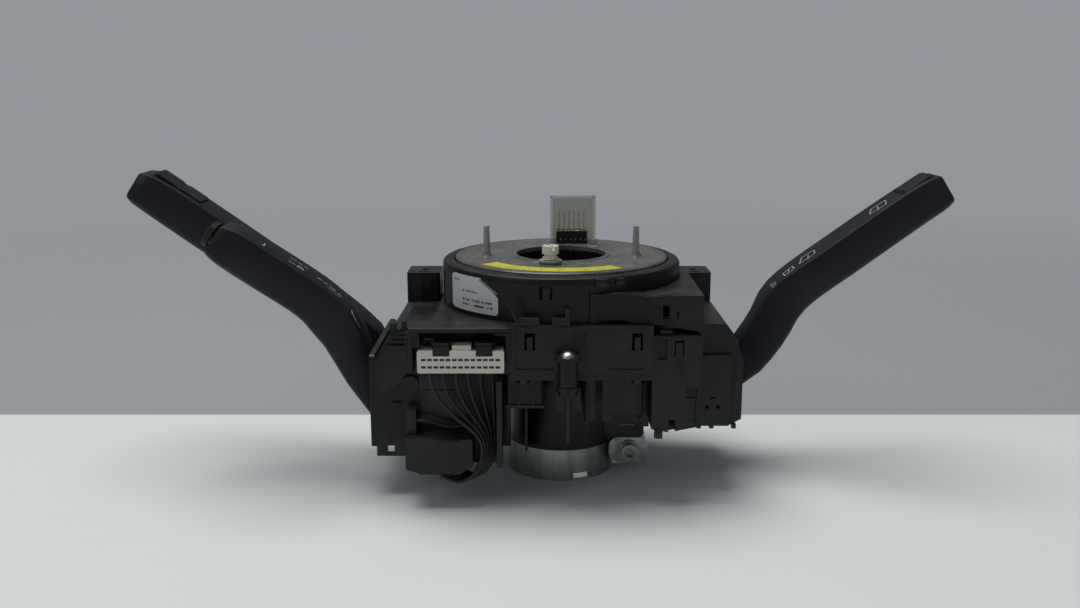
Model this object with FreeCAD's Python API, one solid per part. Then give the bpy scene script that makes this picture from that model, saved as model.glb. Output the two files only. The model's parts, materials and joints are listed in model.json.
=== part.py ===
import FreeCAD, Part
import math
import os

# A steering column switch cluster with its steering angle sensor and contact ring, in millimetres.
# The origin is on the column axis at the clamp ring's bottom face. +Z runs up the column to the
# driver, +X is the driver's right and +Y is twelve o'clock, so -Y is the side with the white plug.

V = FreeCAD.Vector
X, Y, Z = V(1, 0, 0), V(0, 1, 0), V(0, 0, 1)

# Fits and walls
FIT = 0.1              # round a fixed piece inside another
RUN = 0.05             # radial running clearance of a pin in its bore
FREE = 0.6             # round a moving piece that passes a fixed one
SEAT_GAP = 0.3         # a moving face over the face that it rides on
WALL = 2.0             # moulded housings

# Column clamp
COLUMN_R = 23.0
CLAMP_WALL = 3.5
CLAMP_H = 15.6
SPIGOT_WALL = 1.9
SPIGOT_H = 12.0
SLIT = 3.0
EAR_REACH = 17.0       # how far the ears stand out from the ring
EAR_HALF_DEPTH = 14.0
EAR_BOTTOM = 5.0
EAR_H = 13.0
CLAMP_SCREW_IN = 9.4   # from the ears' end back to the screw
CLAMP_SCREW_R = 3.0
CLAMP_HEAD_R = 4.25
CLAMP_HEAD_H = 5.0

# Base housing
COLLAR_WALL = 1.7
COLLAR_H = 45.4
PLATE_T = 4.0
SIDE_GAP = 0.9         # from the contact ring out to the two switch housings
FRONT_STEP = 3.9       # from the contact ring to the front face of the middle tier
PLATE_STEP = 12.0      # from that face back to the base plate's edge
REAR_STEP = 4.1        # how far the contact ring stands over the rear face
HOOD_W = 45.0
HOOD_OUT = 10.0        # how far the hood stands out past the body on the left
FRONT_RIGHT = 40.0
RIB_T = 1.6

# Sensor
SENSOR_H = 21.2
BOARD_LIFT = 2.0
BOARD_T = 1.6
BOARD_R = 49.0
BOARD_HOLE_R = 27.0
GEAR_MODULE = 1.2
HUB_TEETH = 48
GEAR_A_TEETH = 20
GEAR_B_TEETH = 22
GEAR_LIFT = 8.0        # underside of the gears above the base plate
GEAR_T = 6.0
JOURNAL_R = 2.0
MAGNET_R = 3.5
MAGNET_T = 1.8
CHIP_SIDE = 6.0

# Contact ring
RING_R = 58.1
RING_WALL_H = 18.0
RIM_H = 3.2
HUB_WALL = 2.0
HUB_BORE_R = 22.0
RIM_W = 6.1            # from the ring's outside to the disc's edge
DISC_T = 1.5
DISC_PROUD = 0.95
PEG_X = 36.5
PEG_Y = -4.0
PEG_H = 14.6
PEG_ROOT_R = 1.95
PEG_TIP_R = 1.35
RIBBON_T = 0.5
RIBBON_PITCH = 5.0
RIBBON_TURNS = 4
LOCK_X = -5.5
LOCK_STEP = 5.5        # from the hub's bore to the lock screw
LOCK_HEAD_R = 3.9
LOCK_SHANK_R = 2.0
LOCK_BOSS_H = 2.0

# Airbag plug tower on the disc
TOWER_LEFT = -5.0
TOWER_W = 23.0
TOWER_D = 10.5
TOWER_H = 24.6
TOWER_WALL = 1.2
PLUG_PITCH = 2.54
PLUG_PINS = 6
PLUG_PIN_H = 9.5

# White plug under its hood
PLUG_IN = 4.0          # from the hood's left side to the plug
PLUG_W = 38.7
PLUG_LIFT = 0.4
PLUG_H = 10.1
PLUG_PROUD = 2.0       # how far the plug stands out of its hood
WAYS = 13
WAY_PITCH = 2.75
HOOD_H = 20.3

# Switch housings
LEFT_STEP = 17.0       # from the front face back to the left housing
SWITCH_REAR_Y = 34.0
LEFT_DEPTH = 28.0      # from the body's side to the left flange plane
RIGHT_DEPTH = 25.5
LEFT_DROP = 35.0       # from the base plate down to the left housing's bottom
RIGHT_DROP = 27.7
FLANGE_T = 2.7
RIGHT_STEP = 22.0
TOWER_RISE = 35.3      # from the base plate up to the screw towers' tops
TOWER_Y0 = 14.0
SHROUD_SCREW_R = 1.6
SHROUD_SCREW_DEPTH = 14.0

# Stalks
PIVOT_IN = 12.0        # from the body's side to the pivots of the stalks
TURN_Y = 17.0
CRUISE_Y = -22.0
WIPER_Y = 5.0
LEFT_PIVOT_DROP = 13.0
RIGHT_PIVOT_DROP = 10.7
SPLAY = 0.03           # sideways drift of a stalk per millimetre of reach
STALK_HALF_W = 11.0
PIVOT_PIN_R = 2.0
BOSS_HALF_W = 6.4
BOSS_HALF_H = 8.0
BOSS_HALF_L = 7.0
CARRIER_WALL = 2.8
CARRIER_HALF_L = 5.5
STUB_R = 4.0
PLUNGER_R = 2.5
OPENING_MARGIN = 3.9

# Wires
WIRE_R = 0.85
LOOP_WIRES = 6
WIRE_SPACING = 1.8
WIRE_SHIFT = 4.0       # how far the wires step back on their way down

# Heights that follow from the sizes above
PLATE_Z = CLAMP_H + COLLAR_H
SENSOR_Z = PLATE_Z + PLATE_T
RING_Z = SENSOR_Z + SENSOR_H
RIM_Z = RING_Z + RING_WALL_H
RIM_TOP = RIM_Z + RIM_H
DISC_TOP = RIM_TOP + DISC_PROUD
DISC_Z = DISC_TOP - DISC_T
CLAMP_R = COLUMN_R + CLAMP_WALL
SPIGOT_R = COLUMN_R + SPIGOT_WALL
COLLAR_R = SPIGOT_R + FIT + COLLAR_WALL
CLAMP_SCREW_Z = EAR_BOTTOM + EAR_H / 2
GEAR_Z = SENSOR_Z + GEAR_LIFT
BOARD_Z = SENSOR_Z + BOARD_LIFT
BOARD_TOP = BOARD_Z + BOARD_T
PLUG_Z = SENSOR_Z + PLUG_LIFT
LEFT_BOTTOM = PLATE_Z - LEFT_DROP
RIGHT_BOTTOM = PLATE_Z - RIGHT_DROP
TOWER_TOP_Z = PLATE_Z + TOWER_RISE
LEFT_PIVOT_Z = PLATE_Z - LEFT_PIVOT_DROP
RIGHT_PIVOT_Z = PLATE_Z - RIGHT_PIVOT_DROP

# Places across and along the picture that follow from the sizes above
HUB_R = HUB_BORE_R + HUB_WALL
DISC_R = RING_R - RIM_W
EAR_END = CLAMP_R + EAR_REACH
CLAMP_SCREW_X = EAR_END - CLAMP_SCREW_IN
BODY_HALF = RING_R + SIDE_GAP      # half the width between the two switch housings
FRONT_Y = -RING_R - FRONT_STEP     # front face of the middle tier
PLATE_FRONT_Y = FRONT_Y + PLATE_STEP
REAR_Y = RING_R - REAR_STEP
HOOD_LEFT = -BODY_HALF - HOOD_OUT
HOOD_RIGHT = HOOD_LEFT + HOOD_W
PLUG_LEFT = HOOD_LEFT + PLUG_IN
PLUG_RIGHT = PLUG_LEFT + PLUG_W
PLUG_FRONT = FRONT_Y - PLUG_PROUD
LEFT_FRONT_Y = FRONT_Y + LEFT_STEP
RIGHT_FRONT_Y = FRONT_Y + RIGHT_STEP
LEFT_FACE = BODY_HALF + LEFT_DEPTH
RIGHT_FACE = BODY_HALF + RIGHT_DEPTH
PIVOT_REACH = BODY_HALF + PIVOT_IN
LOCK_Y = -HUB_BORE_R - LOCK_STEP
TOWER_FRONT = HUB_BORE_R - 0.5
SCREW_Y = (TOWER_Y0 + SWITCH_REAR_Y) / 2


def box(x0, x1, y0, y1, z0, z1):
    return Part.makeBox(x1 - x0, y1 - y0, z1 - z0, V(x0, y0, z0))


def rod(radius, start, end):
    way = end - start
    return Part.makeCylinder(radius, way.Length, start, way)


def tube(outer, inner, z0, z1):
    return rod(outer, V(0, 0, z0), V(0, 0, z1)).cut(rod(inner, V(0, 0, z0 - 1), V(0, 0, z1 + 1)))


def joined(first, *others):
    return first.fuse(list(others)).removeSplitter()


def without(shape, *tools):
    return shape.cut(list(tools))


def corner_arc(before, corner, after, radius):
    """The ends and the middle of a tangent arc at a corner."""
    back = (before - corner).normalize()
    ahead = (after - corner).normalize()
    half = back.getAngle(ahead) / 2
    reach = radius / math.tan(half)
    middle = (back + ahead).normalize() * (radius / math.sin(half) - radius)
    return corner + back * reach, corner + middle, corner + ahead * reach


def closed_outline(points, radius=0.0):
    """A closed wire through the points, with every corner rounded where a radius is given."""
    if not radius:
        return Part.makePolygon(points + points[:1])
    arcs = [
        corner_arc(points[i - 1], p, points[(i + 1) % len(points)], radius)
        for i, p in enumerate(points)
    ]
    edges = []
    for i, (start, middle, end) in enumerate(arcs):
        edges.append(Part.Arc(start, middle, end).toShape())
        edges.append(Part.LineSegment(end, arcs[(i + 1) % len(arcs)][0]).toShape())
    return Part.Wire(edges)


PLANES = {
    "X": (X, lambda a, b, low: V(low, a, b)),
    "Y": (Y, lambda a, b, low: V(a, low, b)),
    "Z": (Z, lambda a, b, low: V(a, b, low)),
}


def profile(axis, pairs, low, radius=0.0):
    place = PLANES[axis][1]
    return Part.Face(closed_outline([place(a, b, low) for a, b in pairs], radius))


def slab(axis, pairs, low, high, radius=0.0):
    """A profile drawn across an axis and run along it from low to high."""
    return profile(axis, pairs, low, radius).extrude(PLANES[axis][0] * (high - low))


def inset_slab(axis, pairs, low, high, wall):
    """The slab that is left inside a wall of even thickness."""
    inner = profile(axis, pairs, low).makeOffset2D(-wall, 2)
    return inner.extrude(PLANES[axis][0] * (high - low))


def frame_pairs(a0, a1, b0, b1):
    return [(a0, b0), (a1, b0), (a1, b1), (a0, b1)]


# Column clamp

def clamp_ring():
    top = CLAMP_H + SPIGOT_H
    ring = tube(CLAMP_R, COLUMN_R, 0, CLAMP_H)
    ring = joined(ring, tube(SPIGOT_R, COLUMN_R, CLAMP_H, top))
    ear_pairs = frame_pairs(COLUMN_R + 1, EAR_END, EAR_BOTTOM, EAR_BOTTOM + EAR_H)
    ear = slab("Y", ear_pairs, -EAR_HALF_DEPTH, EAR_HALF_DEPTH, EAR_H * 0.36)
    ear = without(ear, rod(COLUMN_R + 1.5, V(0, 0, -1), V(0, 0, top + 1)))
    ring = joined(ring, ear)
    slit = box(COLUMN_R - 5, EAR_END + 1, -SLIT / 2, SLIT / 2, -1, top + 1)
    notch = box(6, 15, -CLAMP_R - 1, -COLUMN_R + 4, -1, 3.6)
    hole = rod(CLAMP_SCREW_R + FIT, V(CLAMP_SCREW_X, -EAR_HALF_DEPTH - 1, CLAMP_SCREW_Z),
               V(CLAMP_SCREW_X, EAR_HALF_DEPTH + 1, CLAMP_SCREW_Z))
    return without(ring, slit, notch, hole)


def clamp_screw():
    face = -EAR_HALF_DEPTH
    centre = V(CLAMP_SCREW_X, face, CLAMP_SCREW_Z)
    washer = rod(CLAMP_HEAD_R + 1.0, centre, centre - Y * 1.2)
    head = rod(CLAMP_HEAD_R, centre, centre - Y * CLAMP_HEAD_H)
    shank = rod(CLAMP_SCREW_R, centre, centre + Y * (2 * EAR_HALF_DEPTH + 2))
    socket_r = CLAMP_HEAD_R * 0.62
    hexagon = [
        (CLAMP_SCREW_X + socket_r * math.cos(k * math.pi / 3),
         CLAMP_SCREW_Z + socket_r * math.sin(k * math.pi / 3))
        for k in range(6)
    ]
    socket = slab("Y", hexagon, face - CLAMP_HEAD_H - 1, face - CLAMP_HEAD_H + 3)
    return joined(washer, head, shank).cut(socket)


# Base housing

def plate_pairs(front):
    """The outline shared by the base plate and the sensor housing, from its front edge."""
    return [
        (-BODY_HALF, PLATE_FRONT_Y), (HOOD_RIGHT, PLATE_FRONT_Y), (HOOD_RIGHT, front),
        (FRONT_RIGHT, front), (FRONT_RIGHT, PLATE_FRONT_Y + 4.0), (BODY_HALF, PLATE_FRONT_Y + 16.0),
        (BODY_HALF, REAR_Y - 10.0), (BODY_HALF - 11.0, REAR_Y), (11.0 - BODY_HALF, REAR_Y),
        (-BODY_HALF, REAR_Y - 10.0),
    ]


HOUSING_SCREWS = [(6.0 - BODY_HALF, REAR_Y - 16.0), (BODY_HALF - 6.0, REAR_Y - 16.0),
                  (HOOD_RIGHT + 6.0, FRONT_Y + 8.0), (FRONT_RIGHT - 6.0, FRONT_Y + 8.0)]
RING_SCREW_ANGLES = [30.0, 150.0, 270.0]
BOSS_R = 3.4
HOUSING_SCREW_R = 1.5
SOCKET_FRONT = 32.0
SOCKET_D = 18.0
SOCKET_HALF_W = 24.0
SOCKET_PINS = 12
BOARD_POSTS = [(-38.0, -22.0), (38.0, -22.0), (-22.0, 39.0), (22.0, 39.0)]


def hanging_box(x0, x1, y0, y1, z0):
    """A box open underneath that hangs from the base plate."""
    outer = slab("Z", frame_pairs(x0, x1, y0, y1), z0, PLATE_Z, 1.5)
    return outer.cut(box(x0 + WALL, x1 - WALL, y0 + WALL, y1 - WALL, z0 - 1, PLATE_Z - WALL))


def base_housing():
    collar_in = SPIGOT_R + FIT
    plate = slab("Z", plate_pairs(FRONT_Y + WALL), PLATE_Z, SENSOR_Z)
    collar = tube(COLLAR_R, collar_in, CLAMP_H, PLATE_Z + 1)
    face = PLATE_FRONT_Y
    left_box = hanging_box(HOOD_RIGHT - 2.4, HOOD_RIGHT + 15.0, face, face + 20.0, PLATE_Z - 15.0)
    right_box = hanging_box(FRONT_RIGHT - 29.9, FRONT_RIGHT - 3.4, face, face + 20.0, PLATE_Z - 22.6)
    right_box = without(
        right_box,
        box(FRONT_RIGHT - 25.1, FRONT_RIGHT - 21.9, face - 1, face + WALL + 1, PLATE_Z - 24.0, PLATE_Z - 1.6),
        box(FRONT_RIGHT - 17.6, FRONT_RIGHT - 4.4, face - 1, face + 1.1, PLATE_Z - 24.0, PLATE_Z - 18.9),
    )
    lip = box(HOOD_RIGHT - 2.4, HOOD_RIGHT + 15.4, face - 0.9, face + 0.5, PLATE_Z - 16.0, PLATE_Z - 14.5)
    pieces = [collar, left_box, right_box, lip]
    for x in (HOOD_RIGHT - 1.1, HOOD_RIGHT + 3.4, HOOD_RIGHT + 10.0):
        pieces.append(box(x, x + 1.0, face - 1.0, face + 0.5, PLATE_Z - 15.0, PLATE_Z))
    for x in (FRONT_RIGHT - 21.6, FRONT_RIGHT - 5.2):
        pieces.append(box(x, x + 1.4, face - 1.0, face + 0.5, PLATE_Z - 18.9, PLATE_Z - 2))
    web = [(collar_in + 0.6, PLATE_Z - 30), (collar_in + 0.6, PLATE_Z + 1),
           (BODY_HALF - 3, PLATE_Z + 1), (BODY_HALF - 3, PLATE_Z - 5)]
    for angle, reach in ((0.0, BODY_HALF - 4), (40.0, 46.0), (90.0, SOCKET_FRONT), (140.0, 46.0),
                         (180.0, BODY_HALF - 4)):
        rib = slab("Y", web, -RIB_T / 2, RIB_T / 2)
        rib = rib.cut(box(reach, BODY_HALF, -RIB_T, RIB_T, 0, SENSOR_Z))
        rib.rotate(V(0, 0, 0), Z, angle)
        pieces.append(rib)
    pieces.append(screw_guard())
    front_rib = box(HOOD_RIGHT + 6.4, HOOD_RIGHT + 7.6, face + 19.0, -20.5, CLAMP_H + 1.5, PLATE_Z)
    pieces.append(without(front_rib, rod(collar_in + 0.5, V(0, 0, 0), V(0, 0, SENSOR_Z))))
    for x, y in BOARD_POSTS:
        pieces.append(rod(BOSS_R, V(x, y, PLATE_Z + 1), V(x, y, BOARD_Z)))
    body = joined(plate, *pieces)
    holes = [rod(collar_in, V(0, 0, PLATE_Z - 1), V(0, 0, SENSOR_Z + 1))]
    holes.append(box(CLAMP_R + 0.2, EAR_END + 2, -EAR_HALF_DEPTH - 1, EAR_HALF_DEPTH + 1,
                     CLAMP_H - 1, EAR_BOTTOM + EAR_H + 1))
    holes.append(box(COLLAR_R - 3, EAR_END + 2, -EAR_HALF_DEPTH - 1, EAR_HALF_DEPTH + 1,
                     CLAMP_H - 1, EAR_BOTTOM + EAR_H + 1))
    holes.append(box(FRONT_SCREW_X - 3.6, FRONT_SCREW_X + 3.6, FRONT_Y, FRONT_Y + WALL + 1,
                     PLATE_Z - 1, SENSOR_Z + 1))
    for x, y in HOUSING_SCREWS:
        holes.append(rod(HOUSING_SCREW_R + FIT, V(x, y, PLATE_Z - 1), V(x, y, SENSOR_Z + 1)))
    return without(body, *holes)


def screw_guard():
    """A bracket on the collar that reaches over the clamp screw."""
    low = EAR_BOTTOM + EAR_H + 1
    right = CLAMP_SCREW_X + 6.9
    block = slab("Y", [(COLLAR_R - 8, low), (right - 1.5, low), (right, low + 1.5), (right, low + 12.0),
                       (right - 4.0, low + 15.0), (COLLAR_R - 8, low + 15.0)], -16.0, -9.0)
    slot = box(COLLAR_R + 2.8, right - 3.3, -17, -8, low + 3.9, low + 6.5)
    bore = rod(COLLAR_R - COLLAR_WALL / 2, V(0, 0, low - 1), V(0, 0, low + 16))
    return without(block, slot, bore)


# Sensor

def gear(teeth, thickness, bore_r, first_tooth):
    """A spur gear with straight flanks, with the middle of one tooth at the angle given."""
    pitch_r = GEAR_MODULE * teeth / 2
    step = 2 * math.pi / teeth
    places = [(pitch_r - 1.2 * GEAR_MODULE, 0.30), (pitch_r + 0.85 * GEAR_MODULE, 0.13)]
    pairs = []
    for tooth in range(teeth):
        middle = math.radians(first_tooth) + tooth * step
        (root, root_share), (tip, tip_share) = places
        for radius, share in ((root, -root_share), (tip, -tip_share),
                              (tip, tip_share), (root, root_share)):
            angle = middle + share * step
            pairs.append((radius * math.cos(angle), radius * math.sin(angle)))
    blank = slab("Z", pairs, 0, thickness)
    return blank.cut(rod(bore_r, V(0, 0, -1), V(0, 0, thickness + 1)))


def gear_place(teeth, hub_tooth):
    """Angle and centre of a measuring gear that meshes at the given tooth of the hub gear."""
    angle = 360.0 / HUB_TEETH * hub_tooth
    distance = GEAR_MODULE * (HUB_TEETH + teeth) / 2
    way = math.radians(angle)
    return angle, V(distance * math.cos(way), distance * math.sin(way), 0)


GEAR_A = gear_place(GEAR_A_TEETH, 20)
GEAR_B = gear_place(GEAR_B_TEETH, 4)
GEAR_BOSS_H = RING_Z - WALL - SEAT_GAP - GEAR_Z - GEAR_T
MAGNET_Z = GEAR_Z - MAGNET_T


def sensor_hub_gear():
    shape = gear(HUB_TEETH, GEAR_T, HUB_R + RUN, 0.0)
    shape.translate(V(0, 0, GEAR_Z))
    return shape


def measuring_gear(teeth, place):
    angle, centre = place
    shape = gear(teeth, GEAR_T, JOURNAL_R + RUN, angle + 180.0 + 180.0 / teeth)
    hub = rod(JOURNAL_R + 2.0, V(0, 0, GEAR_T), V(0, 0, GEAR_T + GEAR_BOSS_H))
    hub = hub.cut(rod(JOURNAL_R + RUN, V(0, 0, 0), V(0, 0, GEAR_T + GEAR_BOSS_H + 1)))
    shape = joined(shape, hub)
    shape.translate(centre + Z * GEAR_Z)
    return shape


def magnet(place):
    centre = place[1]
    return rod(MAGNET_R, centre + Z * MAGNET_Z, centre + Z * GEAR_Z)


def sensor_housing():
    outline = plate_pairs(FRONT_Y)
    shell = slab("Z", outline, SENSOR_Z, RING_Z)
    shell = shell.cut(inset_slab("Z", outline, SENSOR_Z - 1, RING_Z - WALL, WALL))
    pieces = []
    for x, y in HOUSING_SCREWS:
        boss = rod(BOSS_R, V(x, y, SENSOR_Z), V(x, y, RING_Z - 1))
        pieces.append(boss)
    for _, centre in (GEAR_A, GEAR_B):
        pieces.append(rod(JOURNAL_R, centre + Z * (GEAR_Z + 0.5), centre + Z * (RING_Z - 1)))
    pieces += front_screw_boss()
    for x in (HOOD_RIGHT + 1.4, FRONT_RIGHT - 29.8):
        pieces.append(box(x, x + 1.2, FRONT_Y - 1.0, FRONT_Y + 1, SENSOR_Z + 2, RING_Z - 1))
    pieces.append(box(HOOD_RIGHT, FRONT_RIGHT, FRONT_Y - 0.8, FRONT_Y + 1, RING_Z - 1.6, RING_Z))
    pieces += ring_lips()
    shell = joined(shell, *pieces)
    cuts = [rod(HUB_R + 1.0, V(0, 0, RING_Z - WALL - 1), V(0, 0, RING_Z + 1))]
    for x, y in HOUSING_SCREWS:
        cuts.append(rod(HOUSING_SCREW_R, V(x, y, SENSOR_Z - 1), V(x, y, SENSOR_Z + 10.5)))
    for x in SNAP_X:
        cuts.append(box(x - 2.4, x + 2.4, FRONT_Y - 2, FRONT_Y + WALL + 1, RING_Z - 10.8, RING_Z - 2.9))
    for angle in RING_SCREW_ANGLES:
        way = math.radians(angle)
        centre = V(RING_SCREW_REACH * math.cos(way), RING_SCREW_REACH * math.sin(way), 0)
        cuts.append(rod(HOUSING_SCREW_R, centre + Z * (RING_Z - WALL - 1), centre + Z * (RING_Z + 1)))
    cuts.append(box(PLUG_LEFT + 8.0, PLUG_RIGHT - 1.7, PLATE_FRONT_Y - 1, PLATE_FRONT_Y + WALL + 1,
                    BOARD_Z - 0.5, BOARD_TOP + 5))
    shell = without(shell, *cuts)
    tabs = [
        box(x - 1.3, x + 1.3, FRONT_Y - 0.6, FRONT_Y + WALL, RING_Z - 11.3, RING_Z - 4.6)
        for x in SNAP_X
    ]
    return joined(shell, *tabs)


def ring_lips():
    """Low walls, a post and a leaning strut that guard the foot of the contact ring."""
    y0, y1 = FRONT_Y, FRONT_Y + WALL
    x0 = HOOD_RIGHT + 4.1
    strut = [(HOOD_RIGHT - 1.0, RING_Z + 10.2), (HOOD_RIGHT + 0.3, RING_Z + 10.2),
             (x0 + 1.3, RING_Z - 1.0), (x0, RING_Z - 1.0)]
    return [
        box(x0, x0 + 9.2, y0, y1, RING_Z - 1, RING_Z + 3.8),
        box(FRONT_SCREW_X - 7.0, FRONT_SCREW_X - 1.3, y0, y1, RING_Z - 1, RING_Z + 3.8),
        box(FRONT_SCREW_X - 1.3, FRONT_SCREW_X + 0.8, y0, y1, RING_Z - 1, RING_Z + 7.8),
        slab("Y", strut, y0 + 0.3, y1),
    ]


SNAP_X = (HOOD_RIGHT + 9.0, FRONT_RIGHT - 7.1)
RING_SCREW_REACH = RING_R - 5.5
FRONT_SCREW_X = 2.0
FRONT_BOSS_R = 4.4
FRONT_BOSS_Y = FRONT_Y - 4.0
FRONT_BOSS_TOP = SENSOR_Z + 7.6
FRONT_BOSS_H = 16.5
FRONT_FLANGE_T = 1.5


def front_screw_boss():
    """The tall boss on the front face, its flange, and the tapered blade under it."""
    centre = V(FRONT_SCREW_X, FRONT_BOSS_Y, 0)
    low = FRONT_BOSS_TOP - FRONT_BOSS_H
    boss = rod(FRONT_BOSS_R, centre + Z * low, centre + Z * FRONT_BOSS_TOP)
    flange = rod(FRONT_BOSS_R + 1.4, centre + Z * FRONT_BOSS_TOP,
                 centre + Z * (FRONT_BOSS_TOP + FRONT_FLANGE_T))
    collar = rod(FRONT_BOSS_R + 0.7, centre + Z * (low + 2.5), centre + Z * (low + 4.0))
    blade_pairs = [(FRONT_BOSS_Y - 3.4, low + 1), (FRONT_Y + 1, low + 1), (FRONT_Y + 1, low - 6),
                   (FRONT_BOSS_Y + 1.0, low - 22), (FRONT_BOSS_Y - 1.0, low - 22)]
    blade = slab("X", blade_pairs, FRONT_SCREW_X - 0.8, FRONT_SCREW_X + 0.8)
    web = box(FRONT_SCREW_X - 2.4, FRONT_SCREW_X + 2.4, FRONT_BOSS_Y, FRONT_Y + WALL, low + 2,
              SENSOR_Z + 5)
    block = box(FRONT_SCREW_X - 5.1, FRONT_SCREW_X + 5.7, FRONT_Y - 1.5, FRONT_Y + 1, low - 8.8, low + 2.6)
    return [boss, flange, collar, blade, web, block]


def front_screw():
    seat = V(FRONT_SCREW_X, FRONT_BOSS_Y, FRONT_BOSS_TOP + FRONT_FLANGE_T)
    dome = Part.makeSphere(4.2, seat - Z * 2.0)
    keep = rod(5.0, seat, seat + Z * 4)
    return dome.common(keep)


def sensor_board():
    x0, x1, front = PLUG_LEFT + 9.0, PLUG_RIGHT - 3.7, PLATE_FRONT_Y + 0.5
    tongue = box(x0, x1, front, front + 20.0, BOARD_Z, BOARD_TOP)
    board = joined(rod(BOARD_R, V(0, 0, BOARD_Z), V(0, 0, BOARD_TOP)), tongue)
    inside = inset_slab("Z", plate_pairs(FRONT_Y), BOARD_Z - 1, BOARD_TOP + 1, WALL + 0.5)
    inside = joined(inside, box(x0, x1, front, front + 10.0, BOARD_Z - 1, BOARD_TOP + 1))
    board = board.common(inside)
    return board.cut(rod(BOARD_HOLE_R, V(0, 0, BOARD_Z - 1), V(0, 0, BOARD_TOP + 1)))


def hall_chips():
    half = CHIP_SIDE / 2
    top = MAGNET_Z - SEAT_GAP
    chips = [
        box(c.x - half, c.x + half, c.y - half, c.y + half, BOARD_TOP, top)
        for c in (GEAR_A[1], GEAR_B[1])
    ]
    return Part.makeCompound(chips)


def housing_screws():
    head_h = 2.4
    screws = []
    for x, y in HOUSING_SCREWS:
        head = rod(3.0, V(x, y, PLATE_Z - head_h), V(x, y, PLATE_Z))
        shank = rod(HOUSING_SCREW_R, V(x, y, PLATE_Z), V(x, y, SENSOR_Z + 10))
        screws.append(joined(head, shank))
    return Part.makeCompound(screws)


# Contact ring

def ring_housing():
    inner_r = RING_R - WALL
    floor = tube(RING_R, HUB_R + 1.0, RING_Z, RING_Z + WALL)
    wall = tube(RING_R, inner_r, RING_Z + WALL, RIM_Z)
    guide = tube(HUB_R + 1.0 + WALL, HUB_R + 1.0, RING_Z + WALL, RING_Z + 3 * WALL)
    shape = joined(floor, wall, guide)
    cuts = []
    for angle in RING_SCREW_ANGLES:
        way = math.radians(angle)
        centre = V(RING_SCREW_REACH * math.cos(way), RING_SCREW_REACH * math.sin(way), 0)
        cuts.append(rod(HOUSING_SCREW_R + FIT, centre + Z * (RING_Z - 1), centre + Z * (RING_Z + WALL + 1)))
    window = box(-10.7, -5.0, -RING_R - 1, -inner_r + 3, RIM_Z - 6.8, RIM_Z - 0.8)
    cuts.append(window)
    shape = without(shape, *cuts)
    tab = box(-9.3, -6.0, -RING_R + 0.8, -inner_r - 0.2, RIM_Z - 7.3, RIM_Z - 1.5)
    return joined(shape, tab)


def ring_rim():
    inner = DISC_R + FREE
    section = [
        (inner, RIM_Z), (RING_R, RIM_Z), (RING_R, RIM_TOP - 2.0), (RING_R - 0.6, RIM_TOP - 0.7),
        (RING_R - 2.0, RIM_TOP), (inner, RIM_TOP),
    ]
    outline = Part.Face(Part.makePolygon([V(r, 0, z) for r, z in section + section[:1]]))
    return outline.revolve(V(0, 0, 0), Z, 360)


def ring_screws():
    screws = []
    for angle in RING_SCREW_ANGLES:
        way = math.radians(angle)
        centre = V(RING_SCREW_REACH * math.cos(way), RING_SCREW_REACH * math.sin(way), 0)
        head = rod(2.8, centre + Z * (RING_Z + WALL), centre + Z * (RING_Z + WALL + 2.0))
        shank = rod(HOUSING_SCREW_R, centre + Z * (RING_Z - WALL - 4), centre + Z * (RING_Z + WALL))
        screws.append(joined(head, shank))
    return Part.makeCompound(screws)


def ribbon_cable():
    """A flat spiral of half circles whose centres swap sides."""
    low, high = RING_Z + WALL + SEAT_GAP, DISC_Z - 3.5
    shift = RIBBON_PITCH / 4
    start = HUB_R + 5.5
    inner, outer = [], []
    for half in range(2 * RIBBON_TURNS):
        side = 1 if half % 2 == 0 else -1
        radius = start + half * RIBBON_PITCH / 2
        for wire, extra in ((inner, 0.0), (outer, RIBBON_T)):
            centre = V(-side * shift, 0, low)
            r = radius + extra
            wire.append(Part.Arc(centre + X * r * side, centre + Y * r * side,
                                 centre - X * r * side).toShape())
    first = Part.LineSegment(inner[0].Vertexes[0].Point, outer[0].Vertexes[0].Point).toShape()
    last = Part.LineSegment(inner[-1].Vertexes[-1].Point, outer[-1].Vertexes[-1].Point).toShape()
    wire = Part.Wire(Part.__sortEdges__([first, last] + inner + outer))
    return Part.Face(wire).extrude(Z * (high - low))


# Rotor

def rotor_hub():
    shape = tube(HUB_R, HUB_BORE_R, GEAR_Z, DISC_Z)
    flange = tube(HUB_R + 3.0, HUB_BORE_R, DISC_Z - 1.5, DISC_Z)
    stop = tube(HUB_R + 0.5, HUB_R - 0.2, GEAR_Z + GEAR_T, GEAR_Z + GEAR_T + 2)
    ribs = []
    for k in range(6):
        rib = box(HUB_BORE_R - 1.2, HUB_BORE_R + 0.5, -0.8, 0.8, GEAR_Z, DISC_Z)
        rib.rotate(V(0, 0, 0), Z, 60.0 * k + 15.0)
        ribs.append(rib)
    way_through = rod(LOCK_SHANK_R + FREE, V(LOCK_X, LOCK_Y, DISC_Z - 3), V(LOCK_X, LOCK_Y, DISC_Z + 1))
    return joined(shape, flange, stop, *ribs).cut(way_through)


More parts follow.
